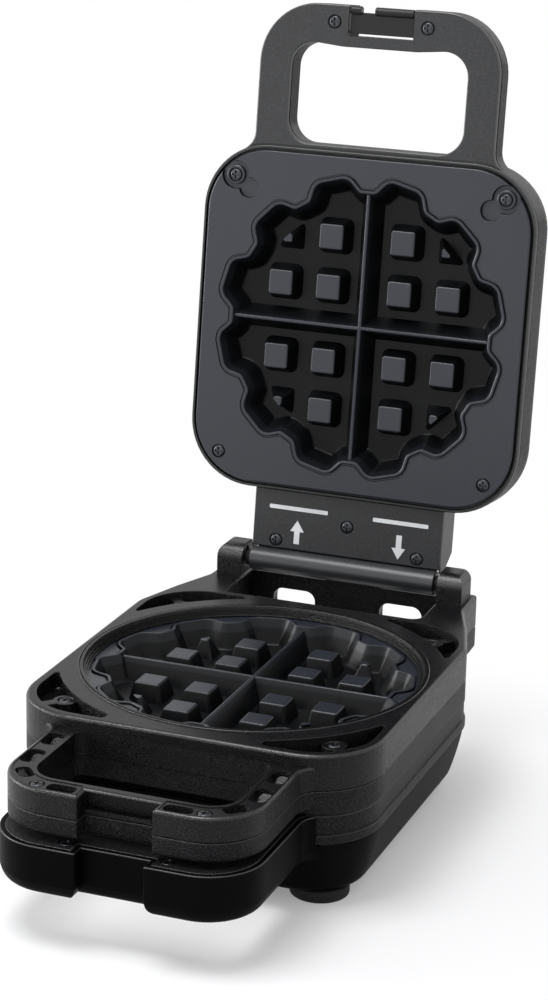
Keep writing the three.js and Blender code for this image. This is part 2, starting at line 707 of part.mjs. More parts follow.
// Lower clam half: two shells, the posts and everything that heats the lower plate
function buildClam(group) {
  const underShell = seamHeight - gap / 2;
  const overShell = seamHeight + gap / 2;
  const windows = withMirror(lengthways(rectangle(windowInner, windowLow, windowOuter, windowTop, windowRound),
    wallFront - overrun, armRear + overrun));
  const crossWall = (z0, z1) => box(-armInner - smallRound, wallFront, z0, armInner + smallRound, armRear, z1);
  const floorTop = clamBottom + wall;
  const pillarTop = clamTop - pocketDepth - pocketSkin - gap;
  const flareOf = (levels) => flares(clamHalf, clamFront, loopHalf, levels);
  const lowerLoopShape = [[loopBottom, topRound], [loopBottom + smallRound, smallRound / 2],
    [loopBottom + topRound, 0], [underShell, 0]];
  const shieldTop = plateFace - cavityDepth - plateSheet - 2 * (gap + heaterTube) - gap;
  const restAngle = radians(180 / lobeCount * 2);
  const restX = (flangeRadius - plateRestRadius) * Math.cos(restAngle);
  const restY = (flangeRadius - plateRestRadius) * Math.sin(restAngle);
  const columns = [
    ...screwSpots.map(([, x, y]) => disc(pillarRadius, clamBottom + wall / 2, pillarTop,
      x * clamScrewX, y * clamScrewY)),
    ...screwSpots.map(([, x, y]) => disc(plateRestRadius, clamBottom + wall / 2, plateFace - plateSheet - gap,
      x * restX, y * restY, 12)),
    ...sides.map(([, x]) => disc(loopPillar, loopBottom + wall / 2, loopTop - loopSkin - gap,
      x * loopScrewX, -loopScrewY, 16)),
    disc(shieldRib[1], clamBottom + wall / 2, shieldTop - shieldSheet - gap, 0, 0, 24)
      .subtract(disc(shieldRib[0], 0, clamTop, 0, 0, 24)),
  ];
  const clamCuts = sumOf([
    ...screwSpots.map(([, x, y]) => screwCut(x * clamScrewX, y * clamScrewY, clamTop - clamScrewDrop,
      clamScrewLength + seatDepth)),
    ...sides.map(([, x]) => screwCut(x * loopScrewX, -loopScrewY, loopTop, screwLength + seatDepth + gap)),
  ]);
  const lower = stack(clamPlan, [[clamBottom, topRound], [clamBottom + smallRound, smallRound / 2],
    [clamBottom + topRound, 0], [underShell, 0]])
    .add(stack(clamLoop, lowerLoopShape))
    .add(flareOf(lowerLoopShape))
    .subtract(prism(inset(clamPlan, wall), floorTop, underShell + overrun))
    .subtract(openingCut(0, 0, clamTop))
    .subtract(loopHollow(clamLoop, wall, notchHalf, loopBottom + wall, underShell + overrun))
    .add(crossWall(clamBottom, underShell))
    .subtract(windows)
    .add(sumOf(columns))
    .subtract(clamCuts);
  piece('clam_lower_shell', lower, grainBlack, group);

  const postSide = [[postFront, wallTop], [postRear, wallTop], [postRear, postTop, smallRound],
    [postFront, postTop, postRound]];
  const postFace = [[postInner, wallTop], [postOuter, wallTop], [postOuter, postTop, postShoulder],
    [postInner, postTop, smallRound]];
  const shaftSlot = rectangle(hingeBack - shaftRadius - gap, hingeHeight - shaftRadius - gap,
    hingeBack + shaftRadius + gap, hingeHeight + slideTravel + shaftRadius + gap, shaftRadius);
  const post = sideways(postSide, postInner, postOuter).intersect(lengthways(postFace, postFront, postRear))
    .subtract(sideways(shaftSlot, 0, slotEnd));
  const boss = lengthways([[-bossHalf, wallTop - topSkin], [bossHalf, wallTop - topSkin],
    [bossHalf, bossTop, bossRound], [-bossHalf, bossTop, bossRound]], wallFront, armRear);
  const pocketFar = clamHalf - pocketEdge;
  const pocketFloor = clamTop - pocketDepth;
  const pocket = (front, skin, z0, z1) => prism(inset([[pocketFar, -front, cornerRadius - pocketEdge],
    [pocketFar, -pocketY, topRound], [pocketX, -pocketY, topRound], [pocketX, -front, topRound]], -skin), z0, z1)
    .subtract(disc(pocketRing - skin, 0, clamTop * 2, 0, 0, plateSides));
  const allPockets = (skin, z0, z1) => withMirror(pocket(clamFront - pocketEdge, skin, z0, z1)
    .add(pocket(clamRear - pocketEdge, skin, z0, z1).mirror([0, 1, 0])));
  const pocketRooms = allPockets(0, pocketFloor, clamTop + overrun);
  const webTurn = Math.atan2(clamScrewY, clamScrewX) / radians(1);
  const screwReach = Math.hypot(clamScrewX, clamScrewY);
  const web = box(screwReach - bossWeb * 2, -bossWeb / 2, pocketFloor - pocketSkin / 2, screwReach + bossWeb * 3,
    bossWeb / 2, clamTop - clamScrewDrop).add(disc(clamBoss, pocketFloor - pocketSkin / 2, clamTop - clamScrewDrop,
    screwReach, 0)).rotate([0, 0, webTurn]);
  const webPair = withMirror(web);
  const clamBosses = webPair.add(webPair.mirror([0, 1, 0])).intersect(pocketRooms.add(
    allPockets(pocketSkin, pocketFloor - pocketSkin, pocketFloor)));
  const grips = gripPockets.map(([x, y, half, long, turn]) => withMirror(
    stack(rectangle(-half, -long, half, long, Math.min(half, long) * 0.8),
      [[loopTop - gripPocketDepth, gripPocketDraft], [loopTop, 0], [loopTop + overrun, 0]])
      .rotate([0, 0, turn]).translate([x, -y, 0])));
  const upperLoopShape = [[overShell, 0], [loopTop - topRound, 0], [loopTop - smallRound / 2, smallRound / 2],
    [loopTop, topRound]];
  const upper = stack(clamPlan, [[overShell, 0], [clamTop - topRound, 0], [clamTop - smallRound / 2, smallRound / 2],
    [clamTop, topRound]])
    .add(stack(clamLoop, upperLoopShape))
    .add(flareOf(upperLoopShape))
    .add(disc(collarRadius, clamTop - topSkin, clamTop + collarRise, 0, 0, plateSides))
    .subtract(prism(inset(clamPlan, wall), overShell - overrun, clamTop - topSkin))
    .add(allPockets(pocketSkin, pocketFloor - pocketSkin, clamTop - topSkin / 2))
    .subtract(openingCut(0, 0, clamTop))
    .subtract(loopHollow(clamLoop, wall, notchHalf, overShell - overrun, loopTop - loopSkin))
    .subtract(box(-notchHalf, -baseLoopFront, 0, notchHalf, -loopFront + notchDepth + lipReach, loopTop - lipHeight)
      .subtract(box(-clamHalf, -baseLoopFront, 0, clamHalf, 0, recessLow)))
    .add(crossWall(overShell, wallTop))
    .subtract(windows)
    .add(boss)
    .subtract(rodAlongY(swivelShaftRadius + gap, swivelFront - gap, armRear + overrun, 0, swivelHeight))
    .add(withMirror(post))
    .subtract(column([[plateFace + gap * 2, collarFoot], [clamTop + collarRise, collarInner],
      [clamTop + overrun, collarInner]], 0, 0, plateSides))
    .subtract(disc(collarFoot, plateFace - overrun, clamTop, 0, 0, plateSides))
    .subtract(disc(flangeRadius + gap, overShell - overrun, plateFace + gap, 0, 0, plateSides))
    .subtract(pocketRooms)
    .add(clamBosses)
    .subtract(sumOf(grips))
    .subtract(clamCuts);
  piece('clam_upper_shell', upper, satinBlack, group);

  const flange = disc(flangeRadius, -plateSheet, 0, 0, 0, plateSides);
  piece('lower_waffle_plate', waffleDish(flange).translate([0, 0, plateFace]), nonStick, group);
  piece('lower_heating_element', heaterLoop().translate([0, 0, shieldTop + gap + heaterTube]), steel, group);
  piece('lower_heat_shield', shieldDish().translate([0, 0, shieldTop]), steel, group);
  piece('lower_thermostat', disc(thermostatRadius, shieldTop + gap, shieldTop + 2 * heaterTube), ceramic, group);
  piece('lower_thermal_fuse', rodAlongY(fuseRadius, fuseSpan[0], fuseSpan[1], 0, shieldTop + gap + fuseRadius, 12),
    ceramic, group);
  for (const [spot, x, y] of screwSpots) {
    screw(`clam_screw_${spot}`, x * clamScrewX, y * clamScrewY, clamTop - clamScrewDrop, group, clamScrewLength);
  }
  for (const [side, x] of sides) screw(`clam_handle_screw_${side}`, x * loopScrewX, -loopScrewY, loopTop, group);
}

// Shaft that rides up and down in the posts' slots
function buildCarriage(group) {
  piece('hinge_shaft', rod(shaftRadius, -shaftHalf, shaftHalf, hingeBack, hingeHeight), steel, group);
  for (const [side, x] of sides) {
    const ring = rod(spacerRadius, barrelHalf + gap, postInner - gap, hingeBack, hingeHeight)
      .subtract(rod(shaftRadius + gap / 2, 0, shaftHalf, hingeBack, hingeHeight));
    piece(`hinge_spacer_${side}`, x > 0 ? ring : ring.mirror([1, 0, 0]), rubber, group);
  }
}

// Lid, in its own frame: X across, Y up the lid from the hinge axis, Z forward
function buildLid(group) {
  const middle = hingeBack;
  const squareOf = (half, long, radius) => mirrorCorners([[half, middle - long, radius], [half, middle + long, radius]]);
  const lidPlan = squareOf(lidHalf, lidHalfLong, lidCorner);
  const platePlan = squareOf(plateHalf, plateHalfLong, plateCorner);
  const lidTopEdge = middle + lidHalfLong;
  const archPlan = (low) => mirrorCorners([[archHalf, low, 0], [archHalf, archTop, archCorner]]);
  const archFlares = (levels) => flares(lidHalf, lidHalfLong, archHalf, levels)
    .mirror([0, 1, 0]).translate([0, middle, 0]);
  const archRoom = mirrorCorners(archOpen);
  const slot = box(-slotHalf, slotLow, archRear - overrun, slotHalf, archTop + overrun, archFace + overrun);
  const plateSpots = screwSpots.map(([, x, y]) => [x * lidScrewX, middle + y * lidScrewY]);
  const lidCuts = sumOf([
    ...plateSpots.map(([x, y]) => screwCut(x, y, lidFace)),
    ...sides.map(([, x]) => screwCut(x * archScrewX, archScrewY, archFace)),
  ]);
  const archEdge = [[archFace - smallRound, 0], [archFace, smallRound]];

  const arch = stack(archPlan(lidTopEdge - plateSheet), [[ledgeLow, 0], ...archEdge])
    .add(archFlares([[ledgeLow, 0], ...archEdge]))
    .add(prism(archPlan(lidTopEdge + gap), archBack, 0))
    .subtract(prism(archRoom, archBack - overrun, archFace + overrun));
  const bosses = sumOf(plateSpots.map(([x, y]) => disc(pillarRadius, lidFace - screwLength - 2 * plateSheet, ledgeTop,
    x, y, 16)));
  const latchPinHole = rod(latchPinRadius + gap, -latchPinEnd - gap, latchPinEnd + gap, latchPivot, 0, 12);
  const front = stack(lidPlan, [[ledgeLow, 0], [rimTop - smallRound, 0], [rimTop, smallRound / 2]])
    .add(arch)
    .subtract(prism(inset(platePlan, -plateMargin), ledgeTop, rimTop + overrun))
    .subtract(prism(inset(platePlan, ledgeWidth), ledgeLow - overrun, rimTop))
    .add(bosses)
    .subtract(slot)
    .subtract(latchPinHole)
    .subtract(lidCuts);
  piece('lid_front_frame', front, satinBlack, group);

  const shellTop = ledgeLow - gap;
  const backLevels = lifted(lidBackLevels, lidBack);
  const roomLevels = backLevels.map(([z, distance], i) => [i === 0 ? z + wall : z, distance + wall])
    .filter(([z], i) => i === 0 || z > lidBack + wall);
  const archSkin = inset(archPlan(lidTopEdge - 3 * wall), wall);
  const archHollow = prism(archSkin, archRear + wall, shellTop + overrun)
    .subtract(prism(inset(archRoom, -wall), archRear - overrun, overrun * 2))
    .subtract(box(-slotHalf - wall, slotLow - overrun * 3, archRear - overrun, slotHalf + wall, archTop, overrun * 2))
    .subtract(prism(lidPlan, archRear - overrun, overrun * 2));
  const archShape = [[archRear, topRound], [archRear + smallRound, smallRound / 2], [archRear + topRound, 0],
    [archBack - gap, 0]];
  const archBody = stack(archPlan(lidTopEdge - smallRound), archShape)
    .add(archFlares(archShape).subtract(prism(inset(lidPlan, smallRound), archRear - overrun, overrun)))
    .subtract(prism(archRoom, archRear - overrun, archFace))
    .subtract(archHollow);
  const shieldTop = lidFace - cavityDepth - plateSheet - 2 * (gap + heaterTube) - gap;
  const posts = sumOf([
    ...screwSpots.map(([, x, y]) => disc(pillarRadius, lidBack + wall / 2, shieldTop - shieldSheet - gap,
      x * shieldPost, middle + y * shieldPost, 16)),
    ...sides.map(([, x]) => disc(pillarRadius, archRear + wall / 2, archBack - gap, x * archScrewX, archScrewY, 16)),
  ]);
  const lensHoles = withMirror(disc(lensRadius + gap, lidBack - overrun, lidBack + wall + overrun,
    lensX, middle + lensY, 20));
  const tongue = box(-tongueHalf, tongueLow, tongueBack, tongueHalf, middle - lidHalfLong + wall / 2,
    bracketFace - bracketWall - gap);
  const back = stack(lidPlan, [...backLevels, [shellTop, 0]])
    .subtract(stack(lidPlan, [...roomLevels, [shellTop + overrun, wall]]))
    .add(archBody)
    .subtract(slot)
    .add(posts)
    .add(tongue)
    .subtract(lensHoles)
    .subtract(lidCuts)
    .subtract(screwCut(0, bracketScrewHigh, bracketFace));
  piece('lid_outer_shell', back, grainBlack, group);

  const keyholeFloor = lidFace - keyholeDepth;
  const keyholes = withMirror(disc(keyholeRadius, keyholeFloor, lidFace + overrun, keyholeX, middle + keyholeY, 20)
    .add(disc(keyholeRing, keyholeFloor, lidFace + overrun, lidScrewX, middle + lidScrewY, 24))
    .subtract(disc(keyholeLand, 0, lidFace, lidScrewX, middle + lidScrewY, 20)));
  const sheet = stack(platePlan, [[lidFace - plateSheet, 0], [lidFace - smallRound, 0], [lidFace, smallRound]])
    .translate([0, -middle, -lidFace]);
  piece('upper_waffle_plate', waffleDish(sheet).translate([0, middle, lidFace])
    .subtract(keyholes).subtract(lidCuts), nonStick, group);
  piece('upper_heating_element', heaterLoop().translate([0, middle, shieldTop + gap + heaterTube]), steel, group);
  piece('upper_heat_shield', shieldDish().translate([0, middle, shieldTop]), steel, group);
  piece('upper_thermostat', disc(thermostatRadius, shieldTop + gap, shieldTop + 2 * heaterTube, 0, middle),
    ceramic, group);
  for (const [name, x, lens] of [['indicator_red', -1, redLens], ['indicator_green', 1, greenLens]]) {
    piece(name, column([[lidBack - smallRound, lensRadius * 0.7], [lidBack, lensRadius],
      [lidBack + wall, lensRadius]], x * lensX, middle + lensY, 20), lens, group);
  }

  const barrel = rod(barrelRadius, -barrelHalf, barrelHalf, 0, 0, 24)
    .add(box(-tabHalf, tabLow, -barrelRadius, tabHalf, tabHigh, bracketFace - bracketWall - gap))
    .subtract(rod(shaftRadius + gap, -shaftHalf, shaftHalf, 0, 0));
  const lowScrews = withMirror(screwCut(bracketScrewX, bracketScrewLow, bracketFace));
  piece('hinge_barrel', barrel.subtract(lowScrews), satinBlack, group);
  const bracket = sideways(bracketProfile, -bracketHalf, bracketHalf)
    .subtract(sideways(bracketHollow, -bracketHalf + bracketSide, bracketHalf - bracketSide))
    .subtract(lowScrews)
    .subtract(screwCut(0, bracketScrewHigh, bracketFace));
  piece('hinge_bracket', bracket, satinBlack, group);

  for (const [side, x] of sides) {
    screw(`bracket_screw_${side}`, x * bracketScrewX, bracketScrewLow, bracketFace, group, screwLength / 2);
    screw(`lid_handle_screw_${side}`, x * archScrewX, archScrewY, archFace, group);
  }
  screw('bracket_screw_middle', 0, bracketScrewHigh, bracketFace, group, screwLength * 0.8);
  for (const [spot, x, y] of screwSpots) screw(`lid_plate_screw_${spot}`, x * lidScrewX, middle + y * lidScrewY,
    lidFace, group);

  const [gapLow, gapHigh] = knuckleGap;
  piece('latch_pin_left', rod(latchPinRadius, -latchPinEnd, gapLow - gap, latchPivot, 0, 12), steel, group);
  piece('latch_pin_right', rod(latchPinRadius, gapHigh + gap, latchPinEnd, latchPivot, 0, 12), steel, group);
  const latch = box(-latchHalf, latchTip, -latchThick, latchHalf, latchNeck, latchThick)
    .add(rod(knuckleRadius, -latchHalf, gapLow, latchPivot, 0))
    .add(rod(knuckleRadius, gapHigh, latchHalf, latchPivot, 0))
    .add(sideways([[latchTip, latchThick], [latchTip, noseSlant - noseReach], [latchTip + noseTip, -noseReach],
      [latchTip + noseThick, -noseReach], [latchTip + noseThick, latchThick]], -latchHalf, latchHalf))
    .subtract(rod(latchPinRadius + gap / 2, -latchHalf - overrun, latchHalf + overrun, latchPivot, 0, 12));
  piece('latch', latch, satinBlack, group);
}

// The whole, centred over the middle of its bounding box
const assembly = new THREE.Group();
buildBase(assembly);
buildSwivel(assembly);
buildClam(assembly);
buildCarriage(assembly);
const lid = new THREE.Group();
buildLid(lid);
lid.position.set(0, hingeBack, hingeHeight);
lid.rotation.x = radians(90 - lean);
assembly.add(lid);
const bounds = new THREE.Box3().setFromObject(assembly, true);
assembly.position.y = -(bounds.min.y + bounds.max.y) / 2;

const wholeUnit = new THREE.Group();
wholeUnit.add(assembly);
export default wholeUnit;
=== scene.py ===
"""Rotating waffle maker, standing open with its lid leaning back: its looks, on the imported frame."""
import bpy
import math
import numpy as np
from mathutils import Matrix, Vector


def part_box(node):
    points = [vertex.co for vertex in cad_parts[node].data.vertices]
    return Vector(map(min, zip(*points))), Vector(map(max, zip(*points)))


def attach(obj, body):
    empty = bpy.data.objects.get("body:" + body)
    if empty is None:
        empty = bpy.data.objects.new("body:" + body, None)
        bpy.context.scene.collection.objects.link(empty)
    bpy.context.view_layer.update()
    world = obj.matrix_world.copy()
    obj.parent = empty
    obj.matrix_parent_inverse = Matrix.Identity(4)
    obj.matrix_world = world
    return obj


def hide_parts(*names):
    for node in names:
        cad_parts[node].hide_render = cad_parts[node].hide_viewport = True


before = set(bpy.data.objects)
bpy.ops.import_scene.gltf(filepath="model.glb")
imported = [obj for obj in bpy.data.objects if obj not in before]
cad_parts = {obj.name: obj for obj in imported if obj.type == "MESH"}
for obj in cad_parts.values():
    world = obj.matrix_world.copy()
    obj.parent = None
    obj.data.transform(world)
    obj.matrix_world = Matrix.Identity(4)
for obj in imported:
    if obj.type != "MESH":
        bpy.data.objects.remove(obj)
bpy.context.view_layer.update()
scene = bpy.context.scene

# Camera
# A long lens about a metre and a half away, in front of the right-hand corner and a little above.
# It stands in the drawings' millimetres, and the hinge shaft tells how far back those lie.
MILLIMETRE = 0.001
HINGE_BACK, HINGE_HEIGHT = 141.7, 95.0
shaft_low, shaft_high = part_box("hinge_shaft")
SHIFT = 500 * (shaft_low[1] + shaft_high[1]) - HINGE_BACK
turn, rise, roll = math.radians(20.62), math.radians(17.77), math.radians(1.24)
distance, aside, lifted, aim_height = 1492.58, 8.9, 107.9, 66
ahead = Vector((-math.sin(turn) * math.cos(rise), math.cos(turn) * math.cos(rise), -math.sin(rise)))
level = Vector((math.cos(turn), math.sin(turn), 0))
above = level.cross(ahead)
eye = (-distance * ahead + aside * level + lifted * above + Vector((0, SHIFT, aim_height))) * MILLIMETRE
across = math.cos(roll) * level + math.sin(roll) * above
upward = across.cross(ahead)
lens = bpy.data.cameras.new("camera")
lens.lens, lens.sensor_width = 99.79, 36
lens.clip_start, lens.clip_end = 0.05, 60
camera = bpy.data.objects.new("camera", lens)
camera.matrix_world = Matrix((across, upward, -ahead)).transposed().to_4x4()
camera.matrix_world.translation = eye
scene.collection.objects.link(camera)
scene.camera = camera
scene.view_settings.view_transform = "Standard"


# Base tub
# The lower moulding of the base, satin black ABS. Its wall draws in towards the table, and in
# front it runs out into a trough that carries the base's loop handle, notched in the middle.
def corner_turns(corners):
    """Direction into and out of each corner and the angle turned there, for all corners at once."""
    spots = np.array([corner[:2] for corner in corners], float)
    into = spots - np.roll(spots, 1, axis=0)
    into /= np.linalg.norm(into, axis=1)[:, None]
    out = np.roll(into, -1, axis=0)
    turns = np.arctan2(into[:, 0] * out[:, 1] - into[:, 1] * out[:, 0], (into * out).sum(axis=1))
    return spots, into, out, turns


def outline(corners, step=6.0):
    """Straight runs joined at each corner by an arc of its radius, going round anticlockwise."""
    spots, into, _, turns = corner_turns(corners)
    runs = []
    for spot, way, turned, (_, _, radius) in zip(spots, into, turns, corners):
        if not radius:
            runs.append(spot[None])
            continue
        side = math.copysign(radius, turned)
        middle = spot - way * radius * math.tan(abs(turned) / 2) + np.array((-way[1], way[0])) * side
        first = math.atan2(-way[0] * side, way[1] * side)
        count = max(1, round(math.degrees(abs(turned)) / step))
        angles = first + turned * np.linspace(0, 1, count + 1)
        runs.append(middle + radius * np.column_stack((np.cos(angles), np.sin(angles))))
    return np.concatenate(runs)


def inset(corners, distance):
    """Corners of the outline whose every edge has moved inwards by the distance, or out if negative."""
    spots, into, out, turns = corner_turns(corners)
    ways = into + out
    normals = np.column_stack((-ways[:, 1], ways[:, 0])) / np.linalg.norm(ways, axis=1)[:, None]
    moved = spots + normals * (distance / np.cos(turns / 2))[:, None]
    return [(x, y, radius and max(radius - distance * math.copysign(1, turn), radius / 20))
            for (x, y), (_, _, radius), turn in zip(moved, corners, turns)]


def mirrored(half):
    """A half outline followed by its mirror image, so that the two close."""
    return [*half, *((-x, y, radius) for x, y, radius in reversed(half))]


def skin(grid):
    """A closed form: each row of the grid is joined to the next all round, both end rows are faces."""
    rows, count = grid.shape[:2]
    index = np.arange(rows * count).reshape(rows, count)
    low, high = index[:-1], index[1:]
    sides = np.stack((low, np.roll(low, -1, 1), np.roll(high, -1, 1), high), -1).reshape(-1, 4)
    mesh = bpy.data.meshes.new("skin")
    mesh.from_pydata(grid.reshape(-1, 3).tolist(), [],
                     [*sides.tolist(), index[0, ::-1].tolist(), index[-1].tolist()])
    return bpy.data.objects.new("skin", mesh)


def along(rows, places, axis):
    """Outlines set one after another along an axis, turned so that the form's faces point out."""
    heights = np.broadcast_to(np.asarray(places, float)[:, None, None], (*rows.shape[:2], 1))
    grid = np.concatenate((rows, heights), 2)
    if axis == "X":
        grid = grid[:, :, [2, 0, 1]]
    if axis == "Y":
        grid = grid[::-1, :, [0, 2, 1]]
    return skin(grid)


def loft(corners, levels, axis="Z", step=6.0):
    """Outline carried along an axis; levels are pairs of a place and how far the edges stand in there."""
    return along(np.stack([outline(inset(corners, depth), step) for _, depth in levels]),
                 [place for place, _ in levels], axis)


def turned(levels, x=0, y=0, axis="Z", sides=48):
    """Circle carried along an axis; levels are pairs of a place and a radius."""
    angles = np.linspace(0, 2 * math.pi, sides, endpoint=False)
    ring = np.column_stack((np.cos(angles), np.sin(angles)))
    radii = np.array([radius for _, radius in levels])
    return along(ring[None] * radii[:, None, None] + (x, y), [place for place, _ in levels], axis)


def box(x0, y0, z0, x1, y1, z1):
    """Block between two opposite corners."""
    return loft([(x1, y0, 0), (x1, y1, 0), (x0, y1, 0), (x0, y0, 0)], [(z0, 0), (z1, 0)])


def rounding(place, start, radius, depth=0, count=4):
    """Levels of a quarter round that ends at a place: the side's last height, then in by its radius."""
    angles = np.linspace(0, math.pi / 2, count + 1)
    way = 1 if place > start else -1
    return [(place - way * radius * (1 - math.sin(a)), depth + radius * (1 - math.cos(a))) for a in angles]


def softly(levels, count=5):
    """Levels eased into a smooth curve: Catmull-Rom through the given pairs, so many steps each."""
    points = np.array(levels, float)
    padded = np.concatenate((2 * points[:1] - points[1:2], points, 2 * points[-1:] - points[-2:-1]))
    t = np.linspace(0, 1, count, endpoint=False)[None, :, None]
    a, b, c, d = (padded[i:len(padded) - 3 + i][:, None] for i in range(4))
    bow, twist = 2 * a - 5 * b + 4 * c - d, 3 * b - a - 3 * c + d
    curve = 0.5 * (2 * b + (c - a) * t + bow * t ** 2 + twist * t ** 3)
    return [tuple(pair) for pair in np.concatenate((curve.reshape(-1, 2), points[-1:])).tolist()]


def shaped(start, *steps):
    """Adds to, cuts or trims a form by others in turn, or rounds its edges where a step holds a radius."""
    scene.collection.objects.link(start)
    used = []
    for kind, other in steps:
        if kind == "BEVEL":
            edge = start.modifiers.new("round", "BEVEL")
            edge.width, edge.segments = other, 3
            edge.limit_method, edge.angle_limit = "ANGLE", math.radians(40)
            continue
        cut = start.modifiers.new("with", "BOOLEAN")
        cut.operation, cut.solver, cut.object = kind, "MANIFOLD", other
        used.append(other)
    mesh = bpy.data.meshes.new_from_object(start.evaluated_get(bpy.context.evaluated_depsgraph_get()))
    bpy.data.objects.remove(start)
    for other in used:
        bpy.data.objects.remove(other)
    return bpy.data.objects.new("form", mesh)


def every(kind, forms):
    """The same step with each of several forms."""
    return [(kind, form) for form in forms]


def joined(*forms):
    """One form out of several."""
    return shaped(forms[0], *every("UNION", forms[1:]))


def flipped(form, axis="X"):
    """Mirror image of a form across the middle, its faces turned back out."""
    mesh = form.data.copy()
    mesh.transform(Matrix.Scale(-1, 4, Vector((axis == "X", axis == "Y", axis == "Z"))))
    mesh.flip_normals()
    return bpy.data.objects.new("form", mesh)


def around(x, y):
    """The four spots that lie x and y to either side of the middle."""
    return [(-x, -y), (-x, y), (x, -y), (x, y)]


def linear(code):
    """Colour from an sRGB hex code, turned to linear light."""
    values = [int(code[i:i + 2], 16) / 255 for i in (1, 3, 5)]
    return (*(v / 12.92 if v <= 0.04045 else ((v + 0.055) / 1.055) ** 2.4 for v in values), 1)


def node(material, kind, inputs=None, **settings):
    """Adds a node with its settings; an input given as a socket is linked, any other is a value."""
    made = material.node_tree.nodes.new(kind)
    for name, value in settings.items():
        setattr(made, name, value)
    for name, value in (inputs or {}).items():
        if isinstance(value, bpy.types.NodeSocket):
            material.node_tree.links.new(value, made.inputs[name])
        else:
            made.inputs[name].default_value = value
    return made


def blank(name):
    """New material with its own node tree and a shader joined to the output."""
    material = bpy.data.materials.new(name)
    material.use_nodes = True
    return material, material.node_tree.nodes["Principled BSDF"]


def mottled(name, dark, light, scale, detail, dull=None, ends=(0.0, 1.0), stretch=None):
    """Material whose tone wanders between two colours, in patches of a metre over the scale.
    Dull is its least and most roughness, where that wanders too, ends are the noise's values at
    which it reaches the two colours, and stretch is one more scale for each of the three ways."""
    material, shader = blank(name)
    where = node(material, "ShaderNodeTexCoord").outputs["Object"]
    if stretch:
        where = node(material, "ShaderNodeMapping", {"Vector": where, "Scale": stretch}).outputs["Vector"]
    patches = node(material, "ShaderNodeTexNoise", {"Vector": where, "Scale": scale, "Detail": detail})
    tones = node(material, "ShaderNodeValToRGB", {"Fac": patches.outputs["Fac"]})
    for element, code, end in zip(tones.color_ramp.elements, (dark, light), ends):
        element.color, element.position = linear(code), end
    material.node_tree.links.new(tones.outputs["Color"], shader.inputs["Base Color"])
    if dull:
        gloss = node(material, "ShaderNodeMapRange", {"Value": patches.outputs["Fac"], "To Min": dull[0],
                                                      "To Max": dull[1]})
        material.node_tree.links.new(gloss.outputs["Result"], shader.inputs["Roughness"])
    return material, shader, tones.outputs["Color"]


def moulded(name, colour, shade, roughness, specular, grain=0.0, pebble=1.1, painted_glint=0.0, edge=0.0,
            way=(0, 0, 1)):
    """Moulded plastic: two close colours in soft patches some 33 mm wide, uneven gloss and a grain.
    The grain's pebbles are as many millimetres wide as pebble says, and the finest are drawn 0.6 mm
    wide, since finer ones wouldn't show. The glint setting is how far the pebbles' tops are painted
    pale, a painted highlight for the specks of light the grain catches, and edge how much glossier
    the rounds beside the faces that look along the way are, where the tool is polished."""
    dull = roughness - 0.04, roughness + 0.05
    material, shader, paint = mottled(name, colour, shade, 30.0, 3.0, dull, (0.35, 0.65))
    where = node(material, "ShaderNodeTexCoord").outputs["Object"]
    fine = node(material, "ShaderNodeTexNoise", {"Vector": where, "Scale": 1000 / pebble, "Detail": 2.0,
                                                 "Roughness": 0.45})
    bump = node(material, "ShaderNodeBump", {"Height": fine.outputs["Fac"], "Strength": 1.0,
                                             "Distance": 0.00002 + 0.001 * grain})
    # The pebbles' tops are painted pale towards a light grey: a painted highlight for the specks of light on
    # the grain.
    if painted_glint:
        tops = node(material, "ShaderNodeMapRange", {"Value": fine.outputs["Fac"], "From Min": 0.5,
                                                     "From Max": 0.68, "To Max": painted_glint})
        glint_paint = node(material, "ShaderNodeMix", {"Factor": tops.outputs["Result"]}, data_type="RGBA")
        material.node_tree.links.new(paint, glint_paint.inputs[6])
        glint_paint.inputs[7].default_value = linear("#77787c")
        material.node_tree.links.new(glint_paint.outputs[2], shader.inputs["Base Color"])
    material.node_tree.links.new(bump.outputs["Normal"], shader.inputs["Normal"])
    shader.inputs["Specular IOR Level"].default_value = specular
    if edge:
        facing = node(material, "ShaderNodeTexCoord").outputs["Normal"]
        level = node(material, "ShaderNodeVectorMath", {0: facing, 1: way}, operation="DOT_PRODUCT")
        leaving = node(material, "ShaderNodeMapRange", {"Value": level.outputs["Value"],
                                                        "From Min": 0.2, "From Max": 0.5})
        arriving = node(material, "ShaderNodeMapRange", {"Value": level.outputs["Value"],
                                                         "From Min": 0.98, "From Max": 0.88})
        rounds = node(material, "ShaderNodeMath", {0: leaving.outputs["Result"],
                                                   1: arriving.outputs["Result"]}, operation="MULTIPLY")
        shine = node(material, "ShaderNodeMapRange", {"Value": rounds.outputs["Value"],
                                                      "To Min": specular, "To Max": specular + edge})
        material.node_tree.links.new(shine.outputs["Result"], shader.inputs["Specular IOR Level"])
    return material


# Satin ABS straight off a polished tool: nearly black, it shows only broad soft reflections.
tub_plastic = moulded("satin_black_abs", "#030304", "#060607", 0.45, 0.03, edge=0.6)
# PBT with the tool's pebble grain, which breaks the light up into fine bright specks; the pebbles'
# tops are also painted pale, a painted highlight for those specks.
grain_plastic = moulded("grained_black_pbt", "#060607", "#09090b", 0.4, 0.12, grain=0.7, pebble=0.6,
                        painted_glint=0.18, edge=0.45)
# The base and the lower half are drawn from the middle of the plates and the table up.
STANDING = Matrix.Scale(MILLIMETRE, 4) @ Matrix.Translation((0, SHIFT, 0))


def fit(form, name, body, material, place=STANDING, sharp=32.0, replaces=True):
    """Puts a finished form in its place, smooth but for its sharp edges, on its body, with its finish."""
    form.name = form.data.name = name
    if form.name not in scene.collection.objects:
        scene.collection.objects.link(form)
    form.data.transform(place)
    form.data.shade_smooth()
    form.data.set_sharp_from_angle(angle=math.radians(sharp))
    form.data.materials.clear()
    form.data.materials.append(material)
    even = form.modifiers.new("even shading", "WEIGHTED_NORMAL")
    even.keep_sharp = True
    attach(form, body)
    if replaces:
        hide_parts(name)
    form.name = name + "_look"


